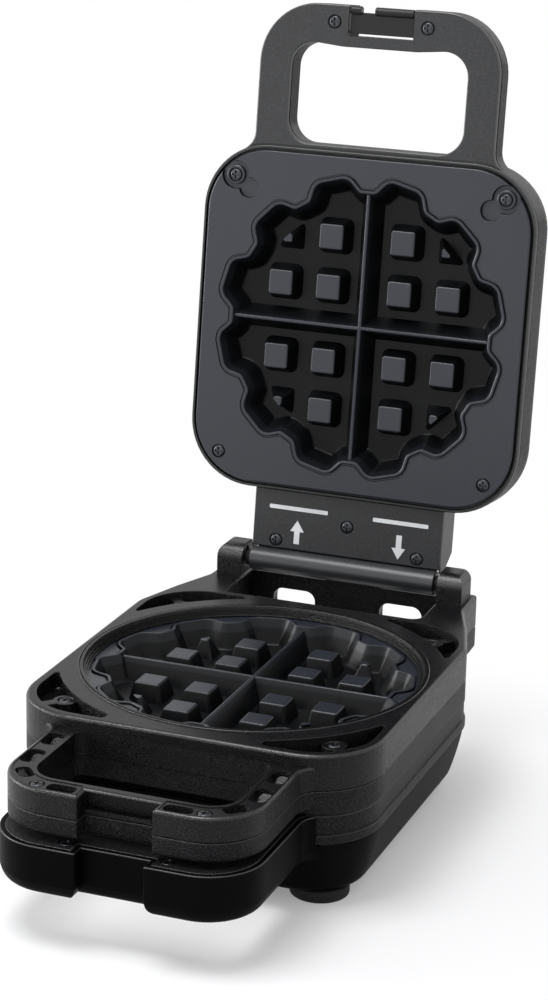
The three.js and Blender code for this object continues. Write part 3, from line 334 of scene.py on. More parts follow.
CORNER, HOLLOW = 38, 12
BASE_TOP, BASE_WALL = 53.3, 3.6
base_leaf = base_half, base_front, base_side = 97, 105, 69.5
base_feet = around(68, 77)
base_plan = mirrored([(base_half, -base_front, CORNER), (base_half, 108, CORNER)])
base_loop = mirrored([(18, -181.5, 0), (18, -189.5, 1), (base_side, -189.5, 30), (base_side, -90, 0)])
opening = mirrored([(53.5, -168, 15), (53.5, -108, 6)])


def open_loop(spread, z0, z1):
    """Cutter for the hand's room in a loop handle, wider all round by the spread."""
    return loft(inset(opening, -spread), [(z0, 0), (z1, 0)])


def loop_room(loop, skin_depth, notch, z0, z1):
    """Room inside a loop handle, between its outer wall, the wall of the opening and the notch."""
    return shaped(loft(inset(loop, skin_depth), [(z0, 0), (z1, 0)]),
                  ("DIFFERENCE", open_loop(skin_depth, z0 - 4, z1 + 4)),
                  ("DIFFERENCE", box(-notch - skin_depth, -193, z0 - 4, notch + skin_depth, -168, z1 + 4)),
                  ("DIFFERENCE", box(-98, -108, z0 - 4, 98, 0, z1 + 4)))


def flares(half, front, side, levels, way=-1, middle=0.0):
    """The hollow rounds between a leaf's two corners and the sides of its loop handle, as two steps.
    Each touches the handle's side and the corner's own round, and it grows by a level's depth."""
    corner_x, corner_y = half - CORNER, front - CORNER
    reach = side + HOLLOW - corner_x
    rise = math.sqrt((CORNER + HOLLOW) ** 2 - reach ** 2)
    angles = math.pi + math.atan2(rise, reach) * np.linspace(0, 1, 13)
    ring = np.column_stack((np.cos(angles), np.sin(angles)))
    depths = np.array([depth for _, depth in levels])
    arcs = ring[None] * (HOLLOW + depths)[:, None, None] + (side + HOLLOW, corner_y + rise)
    inner = np.broadcast_to([(corner_x, corner_y), (corner_x, corner_y + rise)], (len(levels), 2, 2))
    rows = np.concatenate((arcs, inner), 1) * (1, way) + (0, middle)
    right = along(rows if way < 0 else rows[:, ::-1], [place for place, _ in levels], "Z")
    return every("UNION", (right, flipped(right)))


tub_wall = softly([(7, 11), (8.2, 9.2), (11, 7.4), (20, 4.6), (30, 2.2), (36.4, 1.05)])
tub_wall += [(36.8, 1.2), (37, 1.6)]
trough_wall = softly([(26, 7), (27.5, 3.6), (30, 1.4), (34, 0)]) + rounding(53, 34, 0.9)
trough = shaped(
    loft(base_loop, trough_wall), *flares(*base_leaf, trough_wall),
    ("DIFFERENCE", loft(inset(base_plan, -0.3), [(37, 0), (58, 0)])),
    ("DIFFERENCE", loft(inset(base_plan, BASE_WALL), [(0, 0), (BASE_TOP, 0)])))
rebate = [(50.4, 2.6), (57, 2.6)]
tub = shaped(
    loft(base_plan, tub_wall),
    ("DIFFERENCE", loft(base_plan, [(9.6, 13.6), (11, 10), (20, 7.2), (30, 4.8), (41, BASE_WALL)])),
    ("UNION", trough),
    ("DIFFERENCE", open_loop(0, 0, BASE_TOP)),
    ("DIFFERENCE", loop_room(base_loop, 2.6, 18, 28.6, 57)),
    ("DIFFERENCE", shaped(loft(base_loop, rebate), *flares(*base_leaf, rebate),
                          ("DIFFERENCE", open_loop(2.6, 0, 100)))),
    *every("DIFFERENCE", [turned([(0, 5.3), (14, 5.3)], x, y) for x, y in base_feet]),
    ("DIFFERENCE", turned([(94, 6.8), (114, 6.8)], -40, 22, "Y")))
fit(tub, "base_tub", "base", tub_plastic)

# Feet
# Four round moulded rubber feet, each with a peg pressed up into a hole in the tub's floor. They
# are dull and dark, with a rolled lower edge.
rubber = moulded("moulded_rubber", "#131313", "#1a1a1a", 0.78, 0.3, grain=0.05, pebble=1.6)
foot_names = ("foot_front_left", "foot_rear_left", "foot_front_right", "foot_rear_right")
for name, (x, y) in zip(foot_names, base_feet):
    pad = turned([(0, 12.5), (0, 13.9), (0.25, 14.7), (0.7, 15.25), (1.3, 15.5), (5.6, 15.5), (6.2, 15.3),
                  (6.7, 14.6)], x, y, sides=64)
    fit(joined(pad, turned([(3, 5), (9.6, 5)], x, y)), name, "base", rubber)

# Base frame
# The upper moulding of the base: a pebble-grained band over a ledge, a flat top, a plate let into
# the trough's rim, and two arms behind that hold the pin on which the lower half lifts.
band = [(37.3, 0.6), (37.5, 0.2), (37.9, 0), (41.2, 0), (41.7, 0.15), (42, 0.55), (42.2, 1.0), (51.1, 1.0)]
lift_pin = (166, 44)
arm = shaped(loft([(92, 38, 0), (166, 38, 0), (166, 52.3, 0), (92, 52.3, 0)], [(24, 0), (34, 0)], "X"),
             ("UNION", turned([(24, 8.5), (34, 8.5)], *lift_pin, "X")),
             ("DIFFERENCE", turned([(0, 3.3), (97, 3.3)], *lift_pin, "X")), ("BEVEL", 0.6))
loop_lid = [(50.7, 2.9)] + rounding(BASE_TOP, 50.7, 0.5, 2.9)
base_screws = [(-26.8, -179.7), (26.8, -179.7)]
base_frame = shaped(
    loft(base_plan, band + rounding(BASE_TOP, 51.1, 2.2, 1.0, 5)[1:]),
    ("DIFFERENCE", loft(inset(base_plan, BASE_WALL), [(33, 0), (50.7, 0)])),
    ("UNION", shaped(loft(base_loop, loop_lid), *flares(*base_leaf, loop_lid),
                     ("DIFFERENCE", open_loop(2.9, 0, 58)))),
    ("UNION", flipped(arm)), ("UNION", arm),
    *every("DIFFERENCE", [joined(turned([(51.7, 3.7), (57, 3.7)], *spot),
                                 turned([(41, 1.8), (BASE_TOP, 1.8)], *spot)) for spot in base_screws]))
fit(base_frame, "base_frame", "base", grain_plastic)

# Lower half, under shell
# The lower of the two hot mouldings that clasp the lower plate: pebble-grained PBT with a round
# bottom edge, a loop handle in front, two arms behind, and a cross wall with two windows.
CLAM_TOP, CLAM_WALL, NOTCH = 86.3, 2.6, 19.6
clam_leaf = clam_half, clam_front, clam_side = 98, 106, 68
clam_plan = mirrored([(clam_half, -clam_front, CORNER), (clam_half, 70, 20), (88, 102, 14), (78, 128, 14),
                      (77, 157, 1), (58.7, 157, 1), (58.7, 104, 6)])
clam_loop = mirrored([(NOTCH, -173.5, 0), (NOTCH, -183, 1), (clam_side, -183, 30), (clam_side, -90, 0)])


def window():
    """Cutter for one rear window, a rounded oblong."""
    return loft([(46, 57.5, 6), (46, 75.3, 6), (20, 75.3, 6), (20, 57.5, 6)], [(146.3, 0), (161, 0)], "Y")


under_rim = rounding(67.05, 60, 0.8)
under_loop = rounding(56.7, 60, 2.2)[::-1] + under_rim
fit(shaped(
    loft(clam_plan, rounding(53.6, 60, 2.2)[::-1] + under_rim),
    ("UNION", loft(clam_loop, under_loop)), *flares(*clam_leaf, under_loop),
    ("DIFFERENCE", loft(inset(clam_plan, CLAM_WALL), [(56.2, 0), (72, 0)])),
    ("DIFFERENCE", open_loop(0, 0, CLAM_TOP)),
    ("DIFFERENCE", loop_room(clam_loop, CLAM_WALL, NOTCH, 59.3, 71)),
    ("UNION", box(-59.7, 150.3, 53.6, 59.7, 157, 67.05)),
    ("DIFFERENCE", window()), ("DIFFERENCE", flipped(window()))),
    "clam_lower_shell", "lower_clam", grain_plastic)

# Lower half, upper shell
# The upper hot moulding, satin on top: a raised collar round the plate, four deep corner pockets
# with a screw on a boss in each, small scoops along the handle, the two hinge posts and the
# cross wall with a boss round the swivel's end. A thin lip over the notch holds the latch.
HANDLE_TOP, BOSS_TOP = 80.3, 83.1
SEAT = [(-1.6, 4.0), (-0.3, 4.0), (0.1, 4.3), (5, 4.3)]
clam_screws = around(74.3, 79)
handle_screws = [(-44, -176), (44, -176)]


def seat(x, y, face, depth=10.0):
    """Cutter for a screw's round seat with a broken edge, and the hole for its shank."""
    return joined(turned([(face + z, radius) for z, radius in SEAT], x, y),
                  turned([(face - depth, 1.8), (face, 1.8)], x, y, sides=24))


def pocket(front, levels):
    """A corner pocket's room or its wall: the leaf's own corner outside, an arc round the collar inside."""
    plan = [(92.5, -front, 32.5), (92.5, -52, 2.2), (43, -52, 2.2), (43, -front, 2.2)]
    arc = [(0, levels[0][1]), *levels, (120, levels[-1][1])]
    return shaped(loft(plan, levels),
                  ("DIFFERENCE", turned([(place, 104.3 + depth) for place, depth in arc], sides=180)))


def four(front, rear):
    """The form at one front corner and at one rear corner, and both again on the other side."""
    behind = flipped(rear, "Y")
    bpy.data.objects.remove(rear)
    return [front, flipped(front), behind, flipped(behind)]


def square(x, y, half, radius, long=None):
    """Rounded square or oblong about a point."""
    high = half if long is None else long
    return [(x + half, y - high, radius), (x + half, y + high, radius), (x - half, y + high, radius),
            (x - half, y - high, radius)]


def web():
    """Screw boss in a corner pocket, with a rib through it that parts the pocket in two."""
    x, y = clam_screws[-1]
    form = joined(loft(square(0, 0, 18, 0, 3), [(76, 0), (82.5, 0), (82.9, 0.15), (BOSS_TOP, 0.5)]),
                  turned([(76, 6.6), (82.4, 6.6), (82.9, 6.4), (BOSS_TOP, 6.0)]))
    form.data.transform(Matrix.Translation((x, -y, 0)) @ Matrix.Rotation(-math.atan2(y, x), 4, "Z"))
    return form


def scoop(x, y, half, length, turn):
    """Wall and cutter of a scoop: a rounded oblong, deep at one end, whose floor rises to the other."""
    wall = loft(square(0, 0, half + 1.2, 0.8 * half, length + 1.2), [(-10.2, 0), (-3, 0)])
    rim = [(-9, 0.9), (-0.6, 0), (-0.2, -0.1), (0.05, -0.35), (4, -0.35)]
    ramp = [(-length - 1, -9, 0), (0.3 * length, -8.8, 0), (length, -2.6, 0), (length + 1, 5, 0),
            (-length - 1, 5, 0)]
    room = shaped(loft(square(0, 0, half, 0.8 * half, length), rim),
                  ("INTERSECT", loft(ramp, [(-half - 1, 0), (half + 1, 0)], "X")))
    place = Matrix.Translation((x, y, HANDLE_TOP)) @ Matrix.Rotation(math.radians(turn), 4, "Z")
    for form in (wall, room):
        form.data.transform(place)
    return wall, room


slot_room = [(138.9, 92.2, 2.5), (144.5, 92.2, 2.5), (144.5, 101.8, 2.5), (138.9, 101.8, 2.5)]
post = shaped(loft([(132, 78, 0), (150, 78, 0), (150, 103.5, 1), (132, 103.5, 9)], [(59.8, 0), (75, 0)], "X"),
              ("INTERSECT", loft([(59.8, 78, 0), (75, 78, 0), (75, 103.5, 6), (59.8, 103.5, 1)],
                                 [(132, 0), (150, 0)], "Y")),
              ("BEVEL", 0.9),
              ("DIFFERENCE", loft(slot_room, [(50, 0), (72.5, 0)], "X")))
swivel_boss = shaped(loft([(-14, 79.8, 0), (14, 79.8, 0), (14, 97, 9), (-14, 97, 9)],
                          [(150.3, 0), (157, 0)], "Y"), ("BEVEL", 0.7))
pocket_room = [(76.8, 0.7), (77.5, 0), (85.7, 0), (86.1, -0.15), (86.35, -0.6), (91, -0.6)]
pocket_wall = [(75.2, -1.6), (83, -1.6)]
pockets = four(pocket(100.5, pocket_room), pocket(98.5, pocket_room))
pocket_walls = four(pocket(100.5, pocket_wall), pocket(98.5, pocket_wall))
bosses = four(web(), web())
scoops = [scoop(61, -122, 4.6, 7.8, 0), scoop(61, -145.5, 4.7, 8.3, 0), scoop(55.7, -165.4, 4, 6.4, -42),
          scoop(30.7, -176.6, 4, 7.6, 90)]
scoops += [(flipped(wall), flipped(room)) for wall, room in scoops]
# Satin PBT, black, grained on its sides and smooth on top: dark from the front, and with a grey
# sheen where it is seen at a low angle. The grain's tops are painted a little pale, a painted highlight.
clam_plastic = moulded("satin_black_pbt", "#030304", "#050506", 0.27, 0.17, grain=0.7, pebble=0.6,
                       painted_glint=0.12, edge=0.35)
facing = node(clam_plastic, "ShaderNodeTexCoord").outputs["Normal"]
up = node(clam_plastic, "ShaderNodeSeparateXYZ", {"Vector": facing})
worn = node(clam_plastic, "ShaderNodeMapRange", {"Value": up.outputs["Z"], "From Min": 0.3, "From Max": 0.85,
                                                 "To Min": 0.8, "To Max": 0.08})
bump = clam_plastic.node_tree.nodes["Bump"]
clam_plastic.node_tree.links.new(worn.outputs["Result"], bump.inputs["Strength"])
upper_rim = rounding(67.35, 75, 0.45)[::-1]
upper_loop = upper_rim + rounding(HANDLE_TOP, 75, 2.2, 0, 6)
handle_step = shaped(loft(inset(clam_loop, 2.4), [(79.9, 0), (85, 0)]),
                     ("DIFFERENCE", open_loop(2.0, 70, 90)),
                     ("DIFFERENCE", box(-98, -106.5, 70, 98, 0, 90)),
                     ("DIFFERENCE", box(-22, -193, 70, 22, -168, 90)))
collar = turned([(79.8, 94.4), (86.4, 94.4), (86.65, 94.3), (86.83, 94.1), (86.9, 93.8)], sides=144)
collar_rings = turned([(77, 88.6), (81.9, 88.6), (82.1, 89.0), (83.3, 89.3), (83.35, 89.9), (84.6, 90.2),
                       (84.65, 90.8), (86.2, 91.2), (86.7, 91.5), (86.95, 92.0), (91, 92.2)], sides=180)
collar_groove = shaped(turned([(86, 93.4), (86.4, 93.6), (91, 93.7)], sides=180),
                       ("DIFFERENCE", turned([(85, 93.0), (91, 92.9)], sides=180)))
notch_room = shaped(box(-NOTCH, -193, 0, NOTCH, -169.5, 79.1),
                    ("DIFFERENCE", box(-98, -194, -1, 98, 0, 70)))
fit(shaped(
    loft(clam_plan, upper_rim + rounding(CLAM_TOP, 75, 2.2, 0, 6)),
    ("UNION", loft(clam_loop, upper_loop)), *flares(*clam_leaf, upper_loop),
    ("UNION", collar),
    ("DIFFERENCE", loft(inset(clam_plan, CLAM_WALL), [(63, 0), (79.8, 0)])),
    ("DIFFERENCE", open_loop(0, 0, CLAM_TOP)),
    ("DIFFERENCE", loop_room(clam_loop, CLAM_WALL, NOTCH, 63, 75.3)),
    ("DIFFERENCE", notch_room),
    ("UNION", box(-59.7, 150.3, 67.35, 59.7, 157, 84)),
    ("DIFFERENCE", window()), ("DIFFERENCE", flipped(window())),
    ("UNION", swivel_boss),
    ("DIFFERENCE", turned([(151.2, 4.3), (161, 4.3)], 0, 88.7, "Y")),
    ("UNION", flipped(post)), ("UNION", post),
    ("DIFFERENCE", turned([(60, 92.8), (81.3, 92.8)], sides=144)),
    ("DIFFERENCE", collar_rings), ("DIFFERENCE", collar_groove),
    *every("UNION", pocket_walls), *every("DIFFERENCE", pockets), *every("UNION", bosses),
    *every("UNION", [wall for wall, _ in scoops]), *every("DIFFERENCE", [room for _, room in scoops]),
    ("DIFFERENCE", handle_step),
    *every("DIFFERENCE", [seat(*spot, BOSS_TOP) for spot in clam_screws]),
    *every("DIFFERENCE", [seat(*spot, HANDLE_TOP) for spot in handle_screws])),
    "clam_upper_shell", "lower_clam", clam_plastic)


# Waffle plates
# Two die-cast aluminium plates with a dark, faintly metallic non-stick coating. Each has a round
# cavity of twelve scallops inside a bead, a cross of ridges, twelve square pins and four wedges.
def cavity(spread):
    """Twelve scallops: a short flat at the notch's radius, a long one at the lobe's, rounded between."""
    spots = [(-0.12, 77.0, 5.0), (0.12, 77.0, 5.0), (0.28, 85.7, 7.0), (0.72, 85.7, 7.0)]
    turns = [(math.radians(30 * (lobe + share)), radius, bend) for lobe in range(12)
             for share, radius, bend in spots]
    corners = [(radius * math.cos(angle), radius * math.sin(angle), bend) for angle, radius, bend in turns]
    return inset(corners, -spread)


def rising(plans, places, step=9.0):
    """Outlines of the same number of corners, each at its own height."""
    return along(np.stack([outline(plan, step) for plan in plans]), places, "Z")


def dish(flange):
    """Flange with the cavity sunk in it behind a bead and its fine groove, and pins, wedges and ridges."""
    bead = [(-15.5, 6.5), (-2.5, -2.5), (0, -1.9), (0.6, -1.75), (0.9, -1.45), (1, -1)]
    groove = [(-0.7, -2.8), (-0.2, -2.9), (0, -3.0), (0.1, -3.2), (4, -3.2)]
    hollow = [(-13, 8.1), (-12.8, 7.3), (-12.2, 6.6), (-11.2, 6.0), (-5, 2.8), (0.2, 0.3), (0.7, 0.0),
              (0.95, -0.5), (1.05, -1.0), (5, -1.0)]
    grooved = shaped(flange, ("DIFFERENCE", loft(cavity(0), groove, step=9)))
    bowl = shaped(loft(cavity(0), bead, step=9), ("UNION", grooved),
                  ("DIFFERENCE", loft(cavity(0), hollow, step=9)))
    sides = [(-14.25, 0), (-13, 0.42), (-4.2, 3.38), (-3.6, 3.7), (-3.25, 4.1), (-3.1, 4.7)]
    near, far = 21.4, 50.3
    pins = [loft(square(x, y, 10.75, 4.9), sides, step=15)
            for u, v in ((near, near), (far, near), (near, far)) for x, y in around(u, v)]
    feet = np.array([(40, 40), (58, 40), (40, 58)], float)
    tops = np.array([(45.1, 45.1), (51.4, 45.1), (45.1, 51.4)])
    wedges = []
    for _ in range(2):
        plans = [[(*spot, bend) for spot in (feet + (tops - feet) * share).tolist()]
                 for share, bend in ((0, 1.6), (0.9, 1.6), (0.97, 1.3), (1.05, 0.8))]
        wedges.append(flipped(rising(plans, (-14.25, -4.1, -3.4, -3.1), 15), "Y"))
    wedges = four(*wedges)
    halves = [(-14.25, 7.4), (-13, 6.6), (-12.2, 6.1), (-2.1, 1.25), (-1.4, 1.0), (-1.05, 0.65), (-0.9, 0.25)]
    heights = [height for height, _ in halves]
    ridge = rising([square(0, 0, 76.5, 0, half) for _, half in halves], heights)
    cross = rising([square(0, 0, half, 0, 76.5) for _, half in halves], heights)
    return shaped(bowl, *every("UNION", (*pins, *wedges, ridge, cross)))


def coated(name, way, face):
    """Non-stick coating whose colour is painted by where the surface lies: blue-grey on faces and tops that
    look along the way, and black as painted shade on the walls and down in the cavity. It is glossier
    on the faces and dull in the cavity. The way is the direction in which the plate faces, the face
    its distance along that. The painted shade sets in from 3.3 to 4.4 mm under the face, and the
    grain is 0.9 mm wide, so that it shows at all."""
    material, shader = blank(name)
    coordinates = node(material, "ShaderNodeTexCoord").outputs
    where = coordinates["Object"]
    high = node(material, "ShaderNodeVectorMath", {0: where, 1: way}, operation="DOT_PRODUCT")
    above = node(material, "ShaderNodeMapRange", {"Value": high.outputs["Value"], "From Min": face - 0.0044,
                                                  "From Max": face - 0.0033})
    level = node(material, "ShaderNodeVectorMath", {0: coordinates["Normal"], 1: way},
                 operation="DOT_PRODUCT")
    facing = node(material, "ShaderNodeMapRange", {"Value": level.outputs["Value"], "From Min": 0.35,
                                                   "From Max": 0.7})
    unshaded = node(material, "ShaderNodeMath", {0: above.outputs["Result"], 1: facing.outputs["Result"]},
                   operation="MULTIPLY").outputs["Value"]
    fine = node(material, "ShaderNodeTexNoise", {"Vector": where, "Scale": 1100.0, "Detail": 2.0,
                                                 "Roughness": 0.45})
    patches = node(material, "ShaderNodeTexNoise", {"Vector": where, "Scale": 22.0, "Detail": 3.0})
    uneven = node(material, "ShaderNodeMapRange", {"Value": patches.outputs["Fac"], "To Min": 0.3,
                                                   "To Max": 0.42})
    # Painted shade: the coat's blue-grey turns black on the walls and down in the cavity, and its gloss drops
    # there too.
    painted_shade_mix = node(material, "ShaderNodeMix", {"Factor": unshaded}, data_type="RGBA")
    painted_shade_mix.inputs[6].default_value, painted_shade_mix.inputs[7].default_value = linear("#07080a"), linear("#1d2129")
    shine = node(material, "ShaderNodeMapRange", {"Value": unshaded, "To Min": 0.16, "To Max": 0.49})
    bump = node(material, "ShaderNodeBump", {"Height": fine.outputs["Fac"], "Strength": 1.0,
                                             "Distance": 0.00004})
    for socket, source in (("Base Color", painted_shade_mix.outputs[2]), ("Roughness", uneven.outputs["Result"]),
                           ("Specular IOR Level", shine.outputs["Result"]),
                           ("Normal", bump.outputs["Normal"])):
        material.node_tree.links.new(source, shader.inputs[socket])
    return material


lower_dish = dish(turned([(-2.5, 92.5), (-0.4, 92.5), (0, 92.1)], sides=144))
lower_dish.data.transform(Matrix.Translation((0, 0, 81)))
fit(lower_dish, "lower_waffle_plate", "lower_clam",
    coated("non_stick_on_cast_aluminium", (0, 0, 1), 0.081))

# The lid and all on it are drawn from the hinge axis: X across, Y up the lid, Z forward.
LEAN = math.radians(7.25)
LEANING = (STANDING @ Matrix.Translation((0, HINGE_BACK, HINGE_HEIGHT))
           @ Matrix.Rotation(math.pi / 2 - LEAN, 4, "X"))
PLATE_HALF, PLATE_LONG, PLATE_CORNER, PLATE_FACE = 96.5, 96.3, 36, 3.8
PLATE_SCREW = 80.7
upper_plan = square(0, 0, PLATE_HALF, PLATE_CORNER, PLATE_LONG)


def keyhole(x, y):
    """Cutter for a recess round a screw that opens into a keyhole, with a round land for the head."""
    edge = [(-2.1, 0), (-0.5, 0), (-0.1, 0.25), (0.1, 0.6), (4, 0.6)]
    return shaped(turned([(z, 5.8 + more) for z, more in edge], 0.896 * x, 0.917 * y),
                  ("UNION", turned([(z, 8 + more) for z, more in edge], x, y)),
                  ("DIFFERENCE", turned([(-3, 5.5), (-0.5, 5.5), (-0.1, 5.1), (0, 4.7)], x, y)))


upper_dish = shaped(
    dish(loft(upper_plan, [(-2.5, 0)] + rounding(0, -2.5, 1.1))),
    *every("DIFFERENCE", [keyhole(x, PLATE_SCREW) for x in (-PLATE_SCREW, PLATE_SCREW)]),
    *every("DIFFERENCE", [seat(*spot, 0) for spot in around(PLATE_SCREW, PLATE_SCREW)]))
upper_dish.data.transform(Matrix.Translation((0, HINGE_BACK, PLATE_FACE)))
toward = LEANING.to_3x3().col[2].normalized()
upper_coat = coated("non_stick_on_cast_aluminium_lid", tuple(toward),
                    toward.dot(LEANING @ Vector((0, 0, PLATE_FACE))))
fit(upper_dish, "upper_waffle_plate", "lid", upper_coat, place=LEANING)

# Lid, front frame
# The lid's front moulding: a thin frame round the plate and the face of the loop handle above it,
# with a slot for the latch that is open at the top. It is satin PBT with hardly any grain, painted a
# shade greyer than the lower half's, which stands in for the light its forward faces catch; its
# pebbles' tops are painted a little pale too, a painted highlight.
satin_plastic_painted_grey = moulded("satin_dark_pbt", "#151618", "#1b1c1e", 0.42, 0.48, grain=0.02, pebble=0.7,
                        painted_glint=0.1, edge=0.5, way=tuple(toward))
FRAME_FACE, LATCH_AXIS = 2.5, 319.8
lid_leaf = lid_half, lid_long, arch_side = 99.4, 99.2, 71
lid_plan = square(0, HINGE_BACK, lid_half, CORNER, lid_long)
lid_plate = square(0, HINGE_BACK, PLATE_HALF, PLATE_CORNER, PLATE_LONG)
arch_room = mirrored([(52.5, 243.7, 14), (52.5, 302, 14), (22, 299.2, 20)])
plate_posts = [(x, y) for x in (-PLATE_SCREW, PLATE_SCREW) for y in (61, 222.4)]
arch_screws = [(-27.5, 312.7), (27.5, 312.7)]


def arch_plan(low):
    """Outline of the loop handle from where it leaves the lid."""
    return mirrored([(arch_side, low, 0), (arch_side, 322.5, 34)])


def latch_slot():
    """Cutter for the latch's slot."""
    return box(-19.3, 305.4, -21, 19.3, 327, 7)


face_levels = [(-1.5, 0.2), (-1.3, 0)] + rounding(FRAME_FACE, 1.2, 1.1, 0, 4)
arch_edge = [(-7, -1.1), (-1.51, -1.1), (-1.5, 0), (1.6, 0), (2.1, -0.2), (2.4, -0.55), (FRAME_FACE, -0.9),
             (7, -0.9)]
arch_face = shaped(
    loft(arch_plan(238.4), face_levels), *flares(*lid_leaf, face_levels, 1, HINGE_BACK),
    ("UNION", loft(arch_plan(241.2), [(-2.5, 1.1), (0, 1.1)])),
    ("DIFFERENCE", loft(arch_room, arch_edge)),
    ("DIFFERENCE", loft(lid_plan, [(1.4, -1.1), (7, -1.1)])))
fit(shaped(
    loft(lid_plan, [(-1, 0.3), (-0.7, 0), (1.7, 0), (2.2, 0.15), (2.5, 0.4), (2.6, 0.7)]),
    ("UNION", arch_face),
    ("DIFFERENCE", loft(lid_plate, [(-0.6, -1.2), (2.0, -1.2), (2.4, -1.3), (2.7, -1.6), (7, -1.6)])),
    ("DIFFERENCE", loft(inset(lid_plate, 4.5), [(-5, 0), (2.6, 0)])),
    *every("UNION", [turned([(-10.2, 5), (1, 5)], *spot) for spot in plate_posts]),
    ("DIFFERENCE", latch_slot()),
    ("DIFFERENCE", turned([(-22, 1.5), (22, 1.5)], LATCH_AXIS, 0, "X", 24)),
    *every("DIFFERENCE", [turned([(-20, 1.8), (7, 1.8)], *spot, sides=24) for spot in plate_posts]),
    *every("DIFFERENCE", [seat(*spot, FRAME_FACE) for spot in arch_screws])),
    "lid_front_frame", "lid", satin_plastic_painted_grey, place=LEANING)

# Lid, outer shell
# The lid's back moulding: a shallow grained tray with a rounded rim, the back of the loop handle,
# and a tongue at the bottom that reaches into the hinge bracket.
BRACKET_FACE = -1.4
middle_screw = (0, 24.9)
lamp_spots = [(-9, 181.7), (9, 181.7)]
tray = softly([(-31.2, 10), (-30, 5.5), (-27.5, 2.4), (-23, 0.6), (-17, 0)], 4)
back_levels = rounding(-17, -10, 2.2)[::-1] + rounding(-2.8, -10, 0.4)
arch_core = shaped(loft(inset(arch_plan(233.1), 2.6), [(-14.4, 0), (3, 0)]),
                   ("DIFFERENCE", loft(inset(arch_room, -2.6), [(-21, 0), (8, 0)])),
                   ("DIFFERENCE", box(-21.9, 293.7, -21, 21.9, 322.5, 8)),
                   ("DIFFERENCE", loft(lid_plan, [(-21, 0), (8, 0)])))
arch_body = shaped(
    loft(arch_plan(239.9), back_levels), *flares(*lid_leaf, back_levels, 1, HINGE_BACK),
    ("DIFFERENCE", loft(inset(lid_plan, 1.3), [(-21, 0), (8, 0)])),
    ("DIFFERENCE", loft(arch_room, [(-21, -2), (-17.1, -2), (-16.6, -0.8), (-15.8, -0.2), (-14.8, 0),
                                    (7, 0)])),
    ("DIFFERENCE", arch_core))
fit(shaped(
    loft(lid_plan, tray + rounding(-1.3, -5, 0.4)),
    ("DIFFERENCE", loft(lid_plan, [(-28.6, 8.1), (-27.4, 5), (-23, 3.2), (-17, 2.6), (4, 2.6)])),
    ("UNION", arch_body),
    ("DIFFERENCE", latch_slot()),
    ("UNION", box(-48, 2.5, -10, 48, 43.8, -4.7)),
    *every("DIFFERENCE", [turned([(-36, 4.3), (-24, 4.3)], *spot) for spot in lamp_spots]),
    ("DIFFERENCE", seat(*middle_screw, BRACKET_FACE, 9)),
    *every("DIFFERENCE", [turned([(-8, 1.8), (4, 1.8)], *spot, sides=24) for spot in arch_screws])),
    "lid_outer_shell", "lid", grain_plastic, place=LEANING)

# Hinge
# A round satin barrel on a steel shaft between two rubber spacers, and a wide bracket that holds
# the lid's tongue. Both are held by screws, and the bracket's face carries the slide's two arrows.
bracket_screws = [(-43.3, 11.9), (43.3, 11.9)]
barrel = shaped(
    turned([(-56.5, 6.2), (-56.3, 6.7), (-55.8, 7), (55.8, 7), (56.3, 6.7), (56.5, 6.2)], 0, 0, "X", 64),
    ("UNION", box(-55, 2.5, -7, 55, 19, -4.7)),
    ("DIFFERENCE", turned([(-72, 2.8), (72, 2.8)], 0, 0, "X")),
    *every("DIFFERENCE", [turned([(-12, 1.8), (3, 1.8)], *spot, sides=24) for spot in bracket_screws]))
# PBT turned smooth and glossier, so it takes a brighter line of light along its top than the bracket
# does; its colour is also painted a shade lighter than the bracket's, which brightens that line.
barrel_plastic_painted_lighter = moulded("smooth_dark_pbt", "#242528", "#2a2b2e", 0.36, 0.6, pebble=0.8)
fit(barrel, "hinge_barrel", "lid", barrel_plastic_painted_lighter, place=LEANING)
bracket_side = [(7.3, -14, 0), (14, -24, 0), (42, -24, 0), (42, -1.4, 0), (7.3, -1.4, 0)]
bracket_room = [(0, -12.4, 0), (7, -12.4, 0), (14.6, -21.9, 0), (60, -21.9, 0), (60, -4.4, 0), (0, -4.4, 0)]
bracket = shaped(
    loft(bracket_side, [(-57.8, 0), (57.8, 0)], "X"),
    ("BEVEL", 0.8),
    *every("UNION", [box(x - 0.45, 5.3, -14, x + 0.45, 9, -1.8) for x in (-57.35, 57.35)]),
    ("DIFFERENCE", loft(bracket_room, [(-55.3, 0), (55.3, 0)], "X")),
    *every("DIFFERENCE", [seat(*spot, BRACKET_FACE, 6) for spot in (*bracket_screws, middle_screw)]))
fit(bracket, "hinge_bracket", "lid", satin_plastic_painted_grey, place=LEANING)

# The shaft is plain drawn steel, loose in the posts' slots, with faint lines along it 25 mm long.
# They are drawn 1.1 mm wide, coarser than real ones, so that they show. The spacers are rubber.
steel, shader, _ = mottled("drawn_steel", "#8b8d90", "#b9bbbe", 1.0, 2.0, (0.22, 0.38),
                           stretch=(40, 900, 900))
shader.inputs["Metallic"].default_value = 1.0
fit(turned([(-72, 2.1), (-71.6, 2.5), (71.6, 2.5), (72, 2.1)], HINGE_BACK, HINGE_HEIGHT, "X"),
    "hinge_shaft", "hinge_carriage", steel)
for side, low, high in (("left", -59.5, -56.8), ("right", 56.8, 59.5)):
    ring = shaped(turned([(low, 4.3), (low + 0.3, 4.6), (high - 0.3, 4.6), (high, 4.3)],
                         HINGE_BACK, HINGE_HEIGHT, "X"),
                  ("DIFFERENCE", turned([(low - 1, 2.65), (high + 1, 2.65)], HINGE_BACK, HINGE_HEIGHT, "X")))
    fit(ring, f"hinge_spacer_{side}", "hinge_carriage", rubber)

